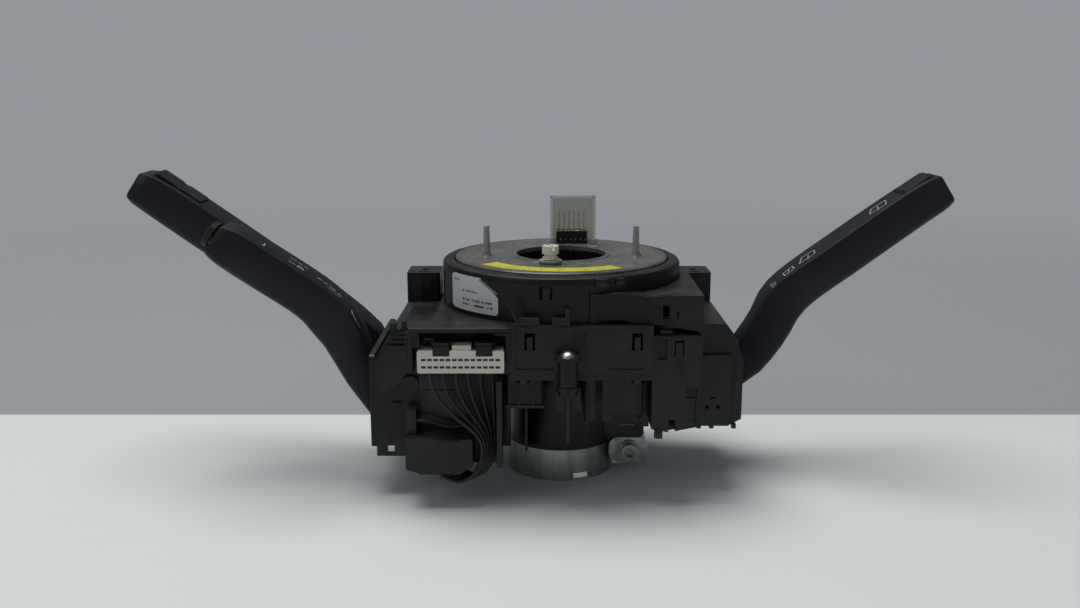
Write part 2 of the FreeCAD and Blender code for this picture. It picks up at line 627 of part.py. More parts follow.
def rotor_disc():
    section = [
        (HUB_BORE_R, DISC_Z), (DISC_R, DISC_Z), (DISC_R, DISC_TOP - 0.5), (DISC_R - 0.5, DISC_TOP),
        (HUB_BORE_R + 2.4, DISC_TOP), (HUB_BORE_R + 2.0, DISC_TOP + 0.6), (HUB_BORE_R, DISC_TOP + 0.6),
    ]
    outline = Part.Face(Part.makePolygon([V(r, 0, z) for r, z in section + section[:1]]))
    disc = outline.revolve(V(0, 0, 0), Z, 360)
    pieces = []
    for side in (-1, 1):
        foot = V(side * PEG_X, PEG_Y, DISC_TOP - 0.6)
        pieces.append(Part.makeCone(PEG_ROOT_R, PEG_TIP_R, PEG_H + 0.6, foot))
        pieces.append(Part.makeCone(3.4, 2.2, 1.6, foot))
    lock = V(LOCK_X, LOCK_Y, 0)
    pieces.append(rod(5.4, lock + Z * (DISC_TOP - 0.6), lock + Z * (DISC_TOP + LOCK_BOSS_H)))
    disc = joined(disc, *pieces)
    bore = rod(HUB_BORE_R, V(0, 0, DISC_Z - 1), V(0, 0, DISC_TOP + 5))
    hole = rod(LOCK_SHANK_R + RUN, lock + Z * (DISC_Z - 1), lock + Z * (DISC_TOP + 5))
    return without(disc, bore, hole)


def lock_screw():
    lock = V(LOCK_X, LOCK_Y, 0)
    seat = DISC_TOP + LOCK_BOSS_H + SEAT_GAP
    neck = rod(LOCK_HEAD_R - 1.0, lock + Z * seat, lock + Z * (seat + 2.6))
    flange = rod(LOCK_HEAD_R - 0.2, lock + Z * seat, lock + Z * (seat + 0.9))
    head = rod(LOCK_HEAD_R, lock + Z * (seat + 2.6), lock + Z * (seat + 6.4))
    shank = rod(LOCK_SHANK_R, lock + Z * (DISC_Z - 2.0), lock + Z * seat)
    slots = []
    for turn in (0, 90):
        slot = box(-LOCK_HEAD_R - 1, LOCK_HEAD_R + 1, -0.55, 0.55, seat + 4.6, seat + 8)
        slot.rotate(V(0, 0, 0), Z, turn + 20.0)
        slot.translate(lock)
        slots.append(slot)
    return without(joined(neck, flange, head, shank), *slots)


def tower_box(inset, z0, z1):
    return box(TOWER_LEFT + inset, TOWER_LEFT + TOWER_W - inset, TOWER_FRONT + inset,
               TOWER_FRONT + TOWER_D - inset, z0, z1)


INSERT_LEFT = TOWER_LEFT + 3.0
INSERT_W = 15.7
INSERT_H = 6.5


def plug_tower():
    base = DISC_TOP + 0.6
    outer = tower_box(0, base, base + TOWER_H)
    cavity = tower_box(TOWER_WALL, base + 1.2, base + TOWER_H + 1)
    window = box(INSERT_LEFT - FIT, INSERT_LEFT + INSERT_W + FIT, TOWER_FRONT - 1,
                 TOWER_FRONT + TOWER_WALL + 1, base + 1.2, base + 1.2 + INSERT_H + FIT)
    foot = box(TOWER_LEFT, TOWER_LEFT + TOWER_W, HUB_BORE_R + 2.7, TOWER_FRONT + TOWER_D,
               DISC_TOP, base)
    block = box(INSERT_LEFT + INSERT_W + 0.6, TOWER_LEFT + TOWER_W + 1.0, TOWER_FRONT - 3.0,
                TOWER_FRONT + 0.2, base, base + 3.6)
    return without(joined(outer, foot, block), cavity, window)


def plug_insert():
    base = DISC_TOP + 0.6 + 1.2
    block = box(INSERT_LEFT, INSERT_LEFT + INSERT_W, TOWER_FRONT - 0.8,
                TOWER_FRONT + TOWER_D - TOWER_WALL, base, base + INSERT_H)
    return without(block, *[pin_box(k, FIT, base + 1, base + INSERT_H + 1) for k in range(PLUG_PINS)])


def pin_box(index, extra, z0, z1):
    x = INSERT_LEFT + INSERT_W / 2 + (index - (PLUG_PINS - 1) / 2) * PLUG_PITCH
    y = TOWER_FRONT + TOWER_D / 2
    half = 0.32 + extra
    return box(x - half, x + half, y - half, y + half, z0, z1)


def plug_pins():
    base = DISC_TOP + 0.6 + 1.2
    pins = [pin_box(k, 0, base + 1, base + INSERT_H + PLUG_PIN_H) for k in range(PLUG_PINS)]
    return Part.makeCompound(pins)


# Front connector

HEADER_T = 3.0


def connector_hood():
    rear = PLATE_FRONT_Y
    top = SENSOR_Z + HOOD_H
    section = [(FRONT_Y, top), (FRONT_Y + 2, top + 0.6), (rear, top + 0.9), (rear, SENSOR_Z),
               (FRONT_Y, SENSOR_Z)]
    outer = slab("X", section, HOOD_LEFT, HOOD_RIGHT)
    cavity = box(HOOD_LEFT + 1.8, HOOD_RIGHT - 1.6, FRONT_Y - 1, rear + 1, SENSOR_Z - 1, top - WALL)
    side_rib = box(HOOD_LEFT - 1.5, HOOD_LEFT, FRONT_Y + 2, FRONT_Y + 4, SENSOR_Z + 3, top - 2)
    cheek = box(HOOD_LEFT + 1.5, HOOD_LEFT + 5.1, FRONT_Y + 0.6, rear, SENSOR_Z + 11.5, top - WALL + 0.3)
    return joined(without(joined(outer, side_rib), cavity), cheek)


def board_header():
    return box(HOOD_LEFT + 6.0, HOOD_RIGHT - 4.0, PLATE_FRONT_Y - HEADER_T, PLATE_FRONT_Y,
               BOARD_Z - 0.5, SENSOR_Z + 13.0)


def way_x(index):
    return PLUG_LEFT + PLUG_W / 2 + (index - (WAYS - 1) / 2) * WAY_PITCH


def main_plug():
    top = PLUG_Z + PLUG_H
    rear = PLATE_FRONT_Y - HEADER_T
    body = slab("Y", frame_pairs(PLUG_LEFT, PLUG_RIGHT, PLUG_Z, top), PLUG_FRONT, rear, 0.8)
    step = box(PLUG_LEFT + 15.5, PLUG_LEFT + 24.0, PLUG_FRONT + 1.5, rear - 2, top - 0.5, top + 2.2)
    cells = []
    for row in range(2):
        z = PLUG_Z + 2.8 + row * 3.4
        for k in range(WAYS):
            cells.append(box(way_x(k) - 0.95, way_x(k) + 0.95, PLUG_FRONT - 1, PLUG_FRONT + 2.0,
                             z - 0.4, z + 0.4))
    notches = [
        box(x, x + 7.4, PLUG_FRONT - 1, PLUG_FRONT + 3, top - 2.4, top + 1)
        for x in (PLUG_LEFT + 7.0, PLUG_LEFT + 26.2)
    ]
    return without(joined(body, step), *(cells + notches))


def plug_latches():
    top = PLUG_Z + PLUG_H
    latches = []
    for x in (PLUG_LEFT + 7.2, PLUG_LEFT + 26.4):
        arm = slab("X", [(PLUG_FRONT + 0.4, top - 2.2), (PLUG_FRONT + 2.6, top - 2.2),
                         (PLUG_FRONT + 2.8, top), (PLUG_FRONT + 10.0, top), (PLUG_FRONT + 10.0, top + 2.2),
                         (PLUG_FRONT + 1.2, top + 3.4), (PLUG_FRONT + 0.4, top + 2.2)], x, x + 7.0)
        cheek = box(x - 1.2, x + 8.2, PLUG_FRONT + 4.0, PLUG_FRONT + 10.0, top, top + 3.4)
        latches.append(joined(arm, cheek))
    return Part.makeCompound(latches)


# Left side

LEFT_TOP = PLATE_Z + 20.6
LEFT_PROFILE = [
    (BODY_HALF, LEFT_BOTTOM), (LEFT_FACE, LEFT_BOTTOM), (LEFT_FACE, PLATE_Z + 5.5),
    (LEFT_FACE - 3.7, PLATE_Z + 11.1), (LEFT_FACE - 6.7, PLATE_Z + 16.1), (LEFT_FACE - 13.1, LEFT_TOP),
    (BODY_HALF, LEFT_TOP),
]
CAVITY_IN = BODY_HALF + WALL
LEFT_CAVITY_Z = (LEFT_BOTTOM + WALL, PLATE_Z + 5.0)
RIGHT_CAVITY_Z = (RIGHT_BOTTOM + 4.2, PLATE_Z + 4.0)
HALF_ROOT_H = 14.0
RIGHT_ROOT_H = 10.6


def mirrored(pairs, side):
    return [(side * a, b) for a, b in pairs]


def tower_block(x0, x1, z0):
    """A shroud screw tower with a slotted flat top and a screw hole."""
    block = slab("Z", frame_pairs(x0, x1, TOWER_Y0, SWITCH_REAR_Y), z0, TOWER_TOP_Z, 1.2)
    centre = V((x0 + x1) / 2, SCREW_Y, 0)
    hole = rod(SHROUD_SCREW_R, centre + Z * (TOWER_TOP_Z - SHROUD_SCREW_DEPTH), centre + Z * 200)
    slot = box(centre.x - 2.8, centre.x + 2.8, TOWER_Y0 + 2.6, TOWER_Y0 + 4.4,
               TOWER_TOP_Z - 3, TOWER_TOP_Z + 1)
    groove = box(centre.x - 0.6, centre.x + 0.6, TOWER_Y0 - 1, TOWER_Y0 + 0.8, z0, TOWER_TOP_Z - 6)
    return without(block, hole, slot, groove)


def stub_holes(side, y, cavity_z):
    """Sockets above and below a cavity for the stubs of a carrier."""
    centre = V(side * PIVOT_REACH, y, 0)
    low, high = cavity_z
    return [
        rod(STUB_R + RUN, centre + Z * (low - WALL - 1), centre + Z * (low + 1)),
        rod(STUB_R + RUN, centre + Z * (high - 1), centre + Z * (high + WALL)),
    ]


def left_switch_housing():
    body = slab("Y", mirrored(LEFT_PROFILE, -1), LEFT_FRONT_Y, SWITCH_REAR_Y)
    tower = tower_block(-BODY_HALF - 19.2, -BODY_HALF - 2.4, LEFT_TOP - 0.6)
    front = LEFT_FRONT_Y
    tab = box(-LEFT_FACE, 15.0 - LEFT_FACE, front, front + WALL, LEFT_BOTTOM - 6.3, LEFT_BOTTOM + 1)
    ribs = [
        box(reach - LEFT_FACE, -BODY_HALF - 12.0, front - 0.9, front + 1, PLATE_Z + rise, PLATE_Z + rise + 1)
        for rise, reach in ((14.0, 8.0), (16.1, 9.0), (18.3, 11.8))
    ]
    knobs = [
        box(7.6 - LEFT_FACE, 10.4 - LEFT_FACE, front + 1, front + 5, PLATE_Z + 14, PLATE_Z + 22.6),
        box(13.0 - LEFT_FACE, 15.0 - LEFT_FACE, front + 1, front + 5, PLATE_Z + 18, PLATE_Z + 23.4),
    ]
    column = slab("Y", frame_pairs(-BODY_HALF - 15.4, -BODY_HALF - 7.4, SHELF_Z + 0.4, PLATE_Z - 2.0),
                  front - 2.4, front + 1, 3.6)
    low, high = LEFT_PIVOT_Z + 2.0, PLATE_Z + 12.6
    bulge = slab("Y", [(1.0 - LEFT_FACE, low), (11.0 - LEFT_FACE, low + 5.0), (18.5 - LEFT_FACE, high - 8.0),
                       (18.5 - LEFT_FACE, high), (6.0 - LEFT_FACE, high), (1.0 - LEFT_FACE, PLATE_Z + 5.0)],
                 front - 1.6, front + 1)
    body = joined(body, tower, tab, column, bulge, *(ribs + knobs))
    low, high = LEFT_CAVITY_Z
    cavity = box(-LEFT_FACE - 1, -CAVITY_IN, LEFT_FRONT_Y + 2.5, SWITCH_REAR_Y - 2.5, low, high)
    cuts = [cavity, box(5.0 - LEFT_FACE, 8.3 - LEFT_FACE, front - 1, front + WALL + 1,
                        LEFT_BOTTOM - 4.7, LEFT_BOTTOM - 1.2)]
    cuts += stub_holes(-1, TURN_Y, LEFT_CAVITY_Z) + stub_holes(-1, CRUISE_Y, LEFT_CAVITY_Z)
    return without(body, *cuts)


def opening(side, face, y, z, half_h, half_w=STALK_HALF_W):
    """The hole in a flange that leaves a stalk room to swing."""
    pairs = frame_pairs(y - half_w - OPENING_MARGIN, y + half_w + OPENING_MARGIN,
                        z - half_h - OPENING_MARGIN, z + half_h + OPENING_MARGIN)
    low, high = sorted((side * (face - 1), side * (face + FLANGE_T + 1)))
    return slab("X", pairs, low, high, 1.5)


def left_flange():
    pairs = frame_pairs(LEFT_FRONT_Y + 1, SWITCH_REAR_Y - 1, LEFT_BOTTOM - 2.6, PLATE_Z + 7.4)
    plate = slab("X", pairs, -LEFT_FACE - FLANGE_T, -LEFT_FACE, 2.5)
    return without(
        plate,
        opening(-1, LEFT_FACE, TURN_Y, LEFT_PIVOT_Z, HALF_ROOT_H),
        opening(-1, LEFT_FACE, CRUISE_Y, LEFT_PIVOT_Z, HALF_ROOT_H),
    )


# Harness box under the white plug

BOX_LEFT = HOOD_LEFT - 2.5
SHELF_Z = PLATE_Z - 27.4
BOX_BOTTOM = SHELF_Z - 16.6
CHANNEL_LEFT = HOOD_RIGHT - 17.0
WIRE_DOWN_X = CHANNEL_LEFT + 4.4      # where the first wire comes down past the harness box
STRIP_LEFT = HOOD_RIGHT - 6.0
BACK_Y = LEFT_FRONT_Y - 3.0


def harness_box():
    section = [(BOX_LEFT, SHELF_Z), (CHANNEL_LEFT, SHELF_Z), (CHANNEL_LEFT, BOX_BOTTOM + 4),
               (CHANNEL_LEFT - 6.0, BOX_BOTTOM), (BOX_LEFT + 6.9, BOX_BOTTOM), (BOX_LEFT, BOX_BOTTOM + 2.5)]
    tray = slab("Y", section, FRONT_Y, LEFT_FRONT_Y)
    tray = tray.cut(box(BOX_LEFT + WALL, CHANNEL_LEFT - WALL, FRONT_Y + WALL, BACK_Y,
                        BOX_BOTTOM + WALL + 1, SHELF_Z - WALL))
    back = box(BOX_LEFT + 5.3, STRIP_LEFT, BACK_Y, LEFT_FRONT_Y, SHELF_Z - 1, PLATE_Z)
    low_back = box(CHANNEL_LEFT - 1, STRIP_LEFT, BACK_Y, LEFT_FRONT_Y, BOX_BOTTOM + 3, SHELF_Z)
    strip = box(STRIP_LEFT, STRIP_LEFT + 2.4, FRONT_Y, LEFT_FRONT_Y, BOX_BOTTOM + 3, PLATE_Z)
    x0, y0, y1 = 2.0 - BODY_HALF, LEFT_FRONT_Y, LEFT_FRONT_Y + 29.0
    rear = slab("Z", frame_pairs(x0, STRIP_LEFT, y0 - 1, y1), BOX_BOTTOM, SHELF_Z)
    rear = rear.cut(box(x0 + WALL, STRIP_LEFT - WALL, y0, y1 - WALL, BOX_BOTTOM - 1, SHELF_Z - WALL))
    panel = box(BOX_LEFT + 6.5, BOX_LEFT + 21.5, BACK_Y - 0.8, BACK_Y + 1, SHELF_Z, SHELF_Z + 19.4)
    post = box(BOX_LEFT, BOX_LEFT + 4.5, FRONT_Y + 6, BACK_Y, SHELF_Z - 1, SHELF_Z + 12.0)
    shape = joined(tray, back, low_back, strip, rear, panel, post)
    slot = box(wire_end_x(0) - 3, wire_end_x(LOOP_WIRES - 1) + 4.5, FRONT_Y + WALL, BACK_Y,
               BOX_BOTTOM - 1, BOX_BOTTOM + WALL + 2)
    return shape.cut(slot)


def wire_y(index):
    """Each wire keeps to its own plane, one behind the other."""
    return PLUG_FRONT + WIRE_R + 0.2 + WIRE_SPACING * index


def wire_end_x(index):
    return CHANNEL_LEFT - 19.0 + 2.0 * index


# Right side

RIGHT_TOP = PLATE_Z + 21.3
RIGHT_SIDE = RIGHT_FACE - 5.6
RIGHT_IN = BODY_HALF + 1.0
RIGHT_PROFILE = [
    (RIGHT_IN, RIGHT_BOTTOM), (RIGHT_SIDE, RIGHT_BOTTOM), (RIGHT_FACE, RIGHT_BOTTOM + 3.0),
    (RIGHT_FACE, PLATE_Z + 4.0), (RIGHT_FACE - 1.6, PLATE_Z + 8.6), (RIGHT_FACE - 5.0, PLATE_Z + 16.8),
    (RIGHT_FACE - 8.4, RIGHT_TOP), (BODY_HALF, RIGHT_TOP), (BODY_HALF, PLATE_Z - 1.0),
    (RIGHT_IN, PLATE_Z - 1.0),
]


def right_switch_housing():
    body = slab("Y", RIGHT_PROFILE, RIGHT_FRONT_Y, SWITCH_REAR_Y)
    tower = tower_block(BODY_HALF + 1.4, BODY_HALF + 17.8, RIGHT_TOP - 0.7)
    front = RIGHT_FRONT_Y
    panel = slab("Y", frame_pairs(RIGHT_SIDE - 14.3, RIGHT_SIDE, RIGHT_BOTTOM, PLATE_Z + 7.0),
                 front - 1.4, front + 1, 1.0)
    feet = [
        box(x, x + 2.0, front - 1.0, front + 3, RIGHT_BOTTOM - 1.4, RIGHT_BOTTOM + 0.7)
        for x in (RIGHT_IN + 3.5, RIGHT_IN + 9.5, RIGHT_IN + 20.0)
    ]
    body = joined(body, tower, panel, *feet)
    low, high = RIGHT_CAVITY_Z
    inner = RIGHT_IN + WALL
    cavity = box(inner, RIGHT_FACE + 1, WIPER_Y - 18, WIPER_Y + 18, low, high)
    front_hollow = box(inner, RIGHT_FACE - WALL, front + WALL, WIPER_Y - 20, RIGHT_BOTTOM - 3, PLATE_Z + 15)
    pin_z = RIGHT_BOTTOM + 9.3
    marks = [
        rod(0.9, V(x, front - 3, pin_z), V(x, front + 1, pin_z)) for x in (inner + 6.1, inner + 11.1)
    ]
    marks.append(box(inner + 7.2, inner + 10.0, front - 3, front - 0.4, pin_z + 4.0, pin_z + 4.8))
    return without(body, cavity, front_hollow, *(marks + stub_holes(1, WIPER_Y, RIGHT_CAVITY_Z)))


def right_flange():
    pairs = frame_pairs(WIPER_Y - 19, WIPER_Y + 19, RIGHT_BOTTOM + 1.7, PLATE_Z + 6.0)
    plate = slab("X", pairs, RIGHT_FACE, RIGHT_FACE + FLANGE_T, 4.0)
    return plate.cut(opening(1, RIGHT_FACE, WIPER_Y, RIGHT_PIVOT_Z, RIGHT_ROOT_H))


RIGHT_BOX_FRONT = FRONT_Y + 2.0
COVER_FRONT = FRONT_Y + 4.0
COVER_TOP = RING_Z + 12.7
COVER_RIGHT = BODY_HALF + 3.5


def right_front_box():
    side, low, high = COVER_RIGHT - 0.1, RIGHT_BOTTOM + 3.2, LEFT_TOP
    section = [(FRONT_RIGHT, low + 1.5), (FRONT_RIGHT + 7.9, low), (side, low + 2.9), (side, high),
               (FRONT_RIGHT, high)]
    rear = PLATE_FRONT_Y + 4.0
    outer = slab("Y", section, RIGHT_BOX_FRONT, rear)
    cavity = inset_slab("Y", section, RIGHT_BOX_FRONT + WALL, rear + 1, WALL)
    y0, y1 = RIGHT_BOX_FRONT - 1, RIGHT_BOX_FRONT + WALL + 1
    window = box(side - 12.8, side - 8.4, y0, y1, high - 9.6, high - 2.2)
    slot = box(FRONT_RIGHT + 7.8, FRONT_RIGHT + 10.8, y0, y1, low - 2.5, low + 6.1)
    groove = box(FRONT_RIGHT + 1.9, FRONT_RIGHT + 6.3, y0, y0 + 2, high - 10.9, high - 1.1)
    recess = box(side - 7.1, side - 2.1, y0, y0 + 2, PLATE_Z - 8.5, PLATE_Z - 3.4)
    slit = box(side - 3.2, side - 2.5, y0, y0 + 1.8, low + 5.2, PLATE_Z - 8)
    shape = without(outer, cavity, window, slot, groove, recess, slit)
    tab = box(side - 12.2, side - 9.0, y0 + 0.4, y1 - 1.2, high - 10.2, high - 3.1)
    lip = box(FRONT_RIGHT + 2.5, side, y0 + 0.1, y1 - 2, high - 1.0, high)
    return joined(shape, tab, lip)


def upper_right_cover():
    rear = TOWER_Y0 - FREE
    left, hinge_x = COVER_RIGHT - 50.5, COVER_RIGHT - 18.5
    section = [(left, RING_Z), (left, COVER_TOP + 1.8), (left + 1.5, COVER_TOP + 0.9),
               (left + 12.5, COVER_TOP + 1.5), (left + 24.5, COVER_TOP), (COVER_RIGHT, COVER_TOP + 0.6),
               (COVER_RIGHT, RING_Z)]
    body = slab("Y", section, COVER_FRONT, rear)
    body = body.cut(box(left + WALL, COVER_RIGHT - WALL, COVER_FRONT + WALL, rear - WALL, RING_Z - 1,
                        COVER_TOP - WALL))
    skirt = slab("Y", [(hinge_x, RING_Z + 1), (COVER_RIGHT, RING_Z + 1), (COVER_RIGHT, RING_Z - 3.4),
                       (hinge_x, RING_Z - 0.2)], COVER_FRONT, COVER_FRONT + WALL)
    y0, y1 = COVER_FRONT - 0.8, COVER_FRONT + 1
    clip = box(hinge_x - 0.7, hinge_x + 3.5, y0, y1, COVER_TOP - 0.8, COVER_TOP + 0.9)
    rib = slab("Y", [(hinge_x - 6.8, RING_Z + 6.0), (hinge_x - 5.7, RING_Z + 6.0),
                     (hinge_x - 3.8, RING_Z + 0.2), (hinge_x - 4.9, RING_Z + 0.2)], y0, y1)
    side = box(COVER_RIGHT - WALL, COVER_RIGHT, COVER_FRONT, rear, RING_Z - 3.1, RING_Z + 1)
    gap = slab("Y", [(left + 4.0, RING_Z - 1), (left + 4.0, RING_Z + 2.0), (left + 15.0, RING_Z + 2.0),
                     (left + 24.0, RING_Z - 1)], y0, COVER_FRONT + WALL + 0.5)
    window = box(hinge_x + 0.3, hinge_x + 3.2, y0 - 1, y1 + WALL, RING_Z + 2.6, RING_Z + 8.7)
    slit = box(hinge_x + 6.7, hinge_x + 7.4, y0 - 1, y1 + WALL, RING_Z + 2.6, RING_Z + 6.0)
    ring = rod(RING_R + 0.3, V(0, 0, RING_Z - 9), V(0, 0, COVER_TOP + 20))
    return without(joined(body, skirt, clip, rib, side), gap, window, slit, ring)


# Vehicle socket under the base plate at the rear

def vehicle_socket():
    x1, y0, y1 = SOCKET_HALF_W, SOCKET_FRONT, SOCKET_FRONT + SOCKET_D
    z0 = PLATE_Z - 19.0
    shell = slab("Z", frame_pairs(-x1, x1, y0, y1), z0, PLATE_Z, 1.5)
    shell = shell.cut(box(WALL - x1, x1 - WALL, y0 + WALL, y1 - WALL, z0 - 1, PLATE_Z - 4))
    divider = box(-RIB_T / 2, RIB_T / 2, y0 + 1, y1 - 1, z0 + 3, PLATE_Z - 2)
    return without(joined(shell, divider), *[socket_pin(k, FIT, PLATE_Z - 6) for k in range(SOCKET_PINS)])


def socket_pin(index, extra, z0):
    row, place = divmod(index, SOCKET_PINS // 2)
    x = (place - (SOCKET_PINS // 2 - 1) / 2) * 7.0
    y = SOCKET_FRONT + 6.0 + row * 6.0
    half = 0.5 + extra
    return box(x - half, x + half, y - half, y + half, z0, PLATE_Z - 1.5)


def socket_pins():
    return Part.makeCompound([socket_pin(k, 0, PLATE_Z - 13.0) for k in range(SOCKET_PINS)])


# Stalks and what carries them

def section(side, y, station):
    """A rounded rectangle across a stalk: reach, height, slope, half thickness and half width."""
    reach, z, slope, half_t, half_w = station
    way = math.radians(slope)
    centre = V(side * reach, y, z)
    up = V(-side * math.sin(way), 0, math.cos(way))
    corner = min(half_t, half_w) * 0.42
    points = [
        centre + up * (b * half_t) + Y * (a * half_w)
        for a, b in ((-1, -1), (1, -1), (1, 1), (-1, 1))
    ]
    return closed_outline(points, corner)


def stalk(side, y, pivot_z, stations, drift):
    """The lofted handle, its root block with the pivot bore, and the bore of the plunger."""
    wires = [section(side, y + drift * (s[0] - stations[0][0]), s) for s in stations]
    handle = Part.makeLoft(wires, True, True)
    face = stations[0]
    neck = Part.makeLoft(
        [section(side, y, face),
         section(side, y, (PIVOT_REACH + BOSS_HALF_L + 2, pivot_z, 0, BOSS_HALF_H, BOSS_HALF_W))],
        True, True)
    ends = sorted((side * (PIVOT_REACH - BOSS_HALF_L), side * (PIVOT_REACH + BOSS_HALF_L + 2)))
    boss = box(ends[0], ends[1], y - BOSS_HALF_W, y + BOSS_HALF_W, pivot_z - BOSS_HALF_H,
               pivot_z + BOSS_HALF_H)
    shape = joined(handle, neck, boss)
    pivot = V(side * PIVOT_REACH, y, pivot_z)
    bore = rod(PIVOT_PIN_R + RUN, pivot - Y * 20, pivot + Y * 20)
    well = rod(PLUNGER_R + FIT, pivot - X * side * (BOSS_HALF_L + 1),
               pivot - X * side * (PIVOT_PIN_R + 1.2))
    return without(shape, bore, well)


def carrier(side, y, pivot_z, cavity_z):
    """The frame that swings on two stubs and holds the stalk's pivot pin."""
    low, high = cavity_z[0] + 1.0, cavity_z[1] - 1.0
    half_w = BOSS_HALF_W + SEAT_GAP + CARRIER_WALL
    x0, x1 = sorted((side * (PIVOT_REACH - CARRIER_HALF_L), side * (PIVOT_REACH + CARRIER_HALF_L)))
    frame = slab("X", frame_pairs(y - half_w, y + half_w, low, high), x0, x1, 2.0)
    pocket = box(x0 - 1, x1 + 1, y - BOSS_HALF_W - SEAT_GAP, y + BOSS_HALF_W + SEAT_GAP,
                 pivot_z - BOSS_HALF_H - 2.0, pivot_z + BOSS_HALF_H + 2.0)
    centre = V(side * PIVOT_REACH, y, 0)
    stubs = [rod(STUB_R, centre + Z * (cavity_z[0] - WALL), centre + Z * (low + 1)),
             rod(STUB_R, centre + Z * (high - 1), centre + Z * (cavity_z[1] + WALL - SEAT_GAP))]
    pin = rod(PIVOT_PIN_R, centre + Z * pivot_z - Y * 30, centre + Z * pivot_z + Y * 30)
    return without(joined(frame, *stubs), pocket, pin)


def pivot_pin(side, y, pivot_z):
    half = BOSS_HALF_W + SEAT_GAP + CARRIER_WALL
    centre = V(side * PIVOT_REACH, y, pivot_z)
    return rod(PIVOT_PIN_R, centre - Y * half, centre + Y * half)


def plunger(side, y, pivot_z):
    tip = V(side * (CAVITY_IN + SEAT_GAP + (1.0 if side > 0 else 0.0)), y, pivot_z)
    ball = Part.makeSphere(PLUNGER_R, tip + X * side * PLUNGER_R)
    body = rod(PLUNGER_R, tip + X * side * PLUNGER_R,
               V(side * (PIVOT_REACH - PIVOT_PIN_R - 1.4), y, pivot_z))
    return joined(ball, body)


def stations_from(face, pivot_z, steps):
    """Stations of a stalk from its steps past the flange plane and above its pivot."""
    return [(face + reach, pivot_z + rise, *rest) for reach, rise, *rest in steps]


TURN_STATIONS = stations_from(LEFT_FACE, LEFT_PIVOT_Z, [
    (FLANGE_T + 1.0, 0.0, 0.0, HALF_ROOT_H, STALK_HALF_W), (11.5, 10.5, 30.0, 10.2, 11.0),
    (23.0, 21.5, 42.0, 9.8, 11.5), (38.0, 33.2, 37.0, 9.8, 12.0), (63.0, 50.6, 35.0, 9.8, 12.0),
    (103.0, 78.6, 35.0, 9.8, 12.0), (118.0, 88.8, 35.0, 9.4, 11.5), (124.5, 92.6, 34.0, 8.2, 10.0),
    (127.5, 93.6, 34.0, 6.0, 7.5),
])
CRUISE_STATIONS = stations_from(LEFT_FACE, LEFT_PIVOT_Z, [
    (FLANGE_T + 1.0, 0.0, 0.0, HALF_ROOT_H, STALK_HALF_W), (11.0, 12.5, 24.0, 10.7, 11.0),
    (16.5, 24.5, 47.0, 9.6, 11.0), (23.0, 34.5, 45.0, 10.2, 11.5), (31.5, 43.4, 35.0, 9.6, 11.5),
    (55.0, 59.6, 34.0, 9.6, 11.5), (69.0, 69.0, 34.0, 9.4, 11.0), (75.0, 72.4, 34.0, 7.6, 9.5),
])
WIPER_STATIONS = stations_from(RIGHT_FACE, RIGHT_PIVOT_Z, [
    (FLANGE_T + 0.7, 0.0, 0.0, RIGHT_ROOT_H, STALK_HALF_W), (10.5, 6.7, 33.0, 9.6, 11.0),
    (20.0, 20.2, 62.0, 9.3, 11.5), (26.0, 32.7, 56.0, 9.6, 12.0), (35.0, 42.0, 40.0, 9.4, 12.0),
    (55.5, 57.1, 36.0, 9.4, 12.0), (87.5, 80.1, 36.0, 9.2, 11.5), (99.0, 87.5, 34.0, 8.2, 10.5),
    (105.5, 90.9, 32.0, 5.5, 8.0),
])
ROCKER_REACH = LEFT_FACE + 110.0
ROCKER_PIN_R = 1.0
ROCKER_PIN_DEPTH = 2.0    # under the stalk's upper face
ROCKER_PIN_L = 9.3
ROCKER_HALF_L = 13.0
ROCKER_HALF_W = 7.6
ROCKER_T = 3.0
CRUISE_BUTTON_R = 4.6
WIPER_BUTTON_REACH = RIGHT_FACE + 94.5
WIPER_BUTTON_HALF_L = 8.2
WIPER_BUTTON_HALF_W = 6.8
BUTTON_T = 3.4
BUTTON_PROUD = 1.6
POCKET_GAP = 0.5


def station_at(stations, reach):
    """The middle of a stalk at a reach between two of its stations."""
    for near, far in zip(stations, stations[1:]):
        if near[0] <= reach <= far[0]:
            share = (reach - near[0]) / (far[0] - near[0])
            return [a + share * (b - a) for a, b in zip(near, far)]
    return list(stations[-1])


def on_stalk(side, y, stations, reach, drift):
    """A placement on a stalk's upper face: x along it, y across it, z out of the face."""
    reach, z, slope, half_t, _ = station_at(stations, reach)
    way = math.radians(slope)
    along = V(side * math.cos(way), 0, math.sin(way))
    out = V(-side * math.sin(way), 0, math.cos(way))
    centre = V(side * reach, y + drift * (reach - stations[0][0]), z) + out * half_t
    across = out.cross(along)
    turn = FreeCAD.Rotation(along, across, out, "ZXY")
    return FreeCAD.Placement(centre, turn)


def placed(shape, placement):
    moved = shape.copy()
    moved.Placement = placement
    return moved


def pill(half_l, half_w, z0, z1, radius):
    return slab("Z", frame_pairs(-half_l, half_l, -half_w, half_w), z0, z1, radius)


def rocker_place():
    return on_stalk(-1, TURN_Y, TURN_STATIONS, ROCKER_REACH, SPLAY)


def turn_stalk():
    shape = stalk(-1, TURN_Y, LEFT_PIVOT_Z, TURN_STATIONS, SPLAY)
    pocket = pill(ROCKER_HALF_L + POCKET_GAP, ROCKER_HALF_W + POCKET_GAP, -ROCKER_T - 1.0, 5, 2.0)
    seat = rocker_pin(RUN, 0.3)
    return shape.cut(placed(joined(pocket, seat), rocker_place()))


def rocker_pin(extra_r, extra_l):
    reach = Y * (ROCKER_PIN_L + extra_l)
    return rod(ROCKER_PIN_R + extra_r, -Z * ROCKER_PIN_DEPTH - reach, -Z * ROCKER_PIN_DEPTH + reach)


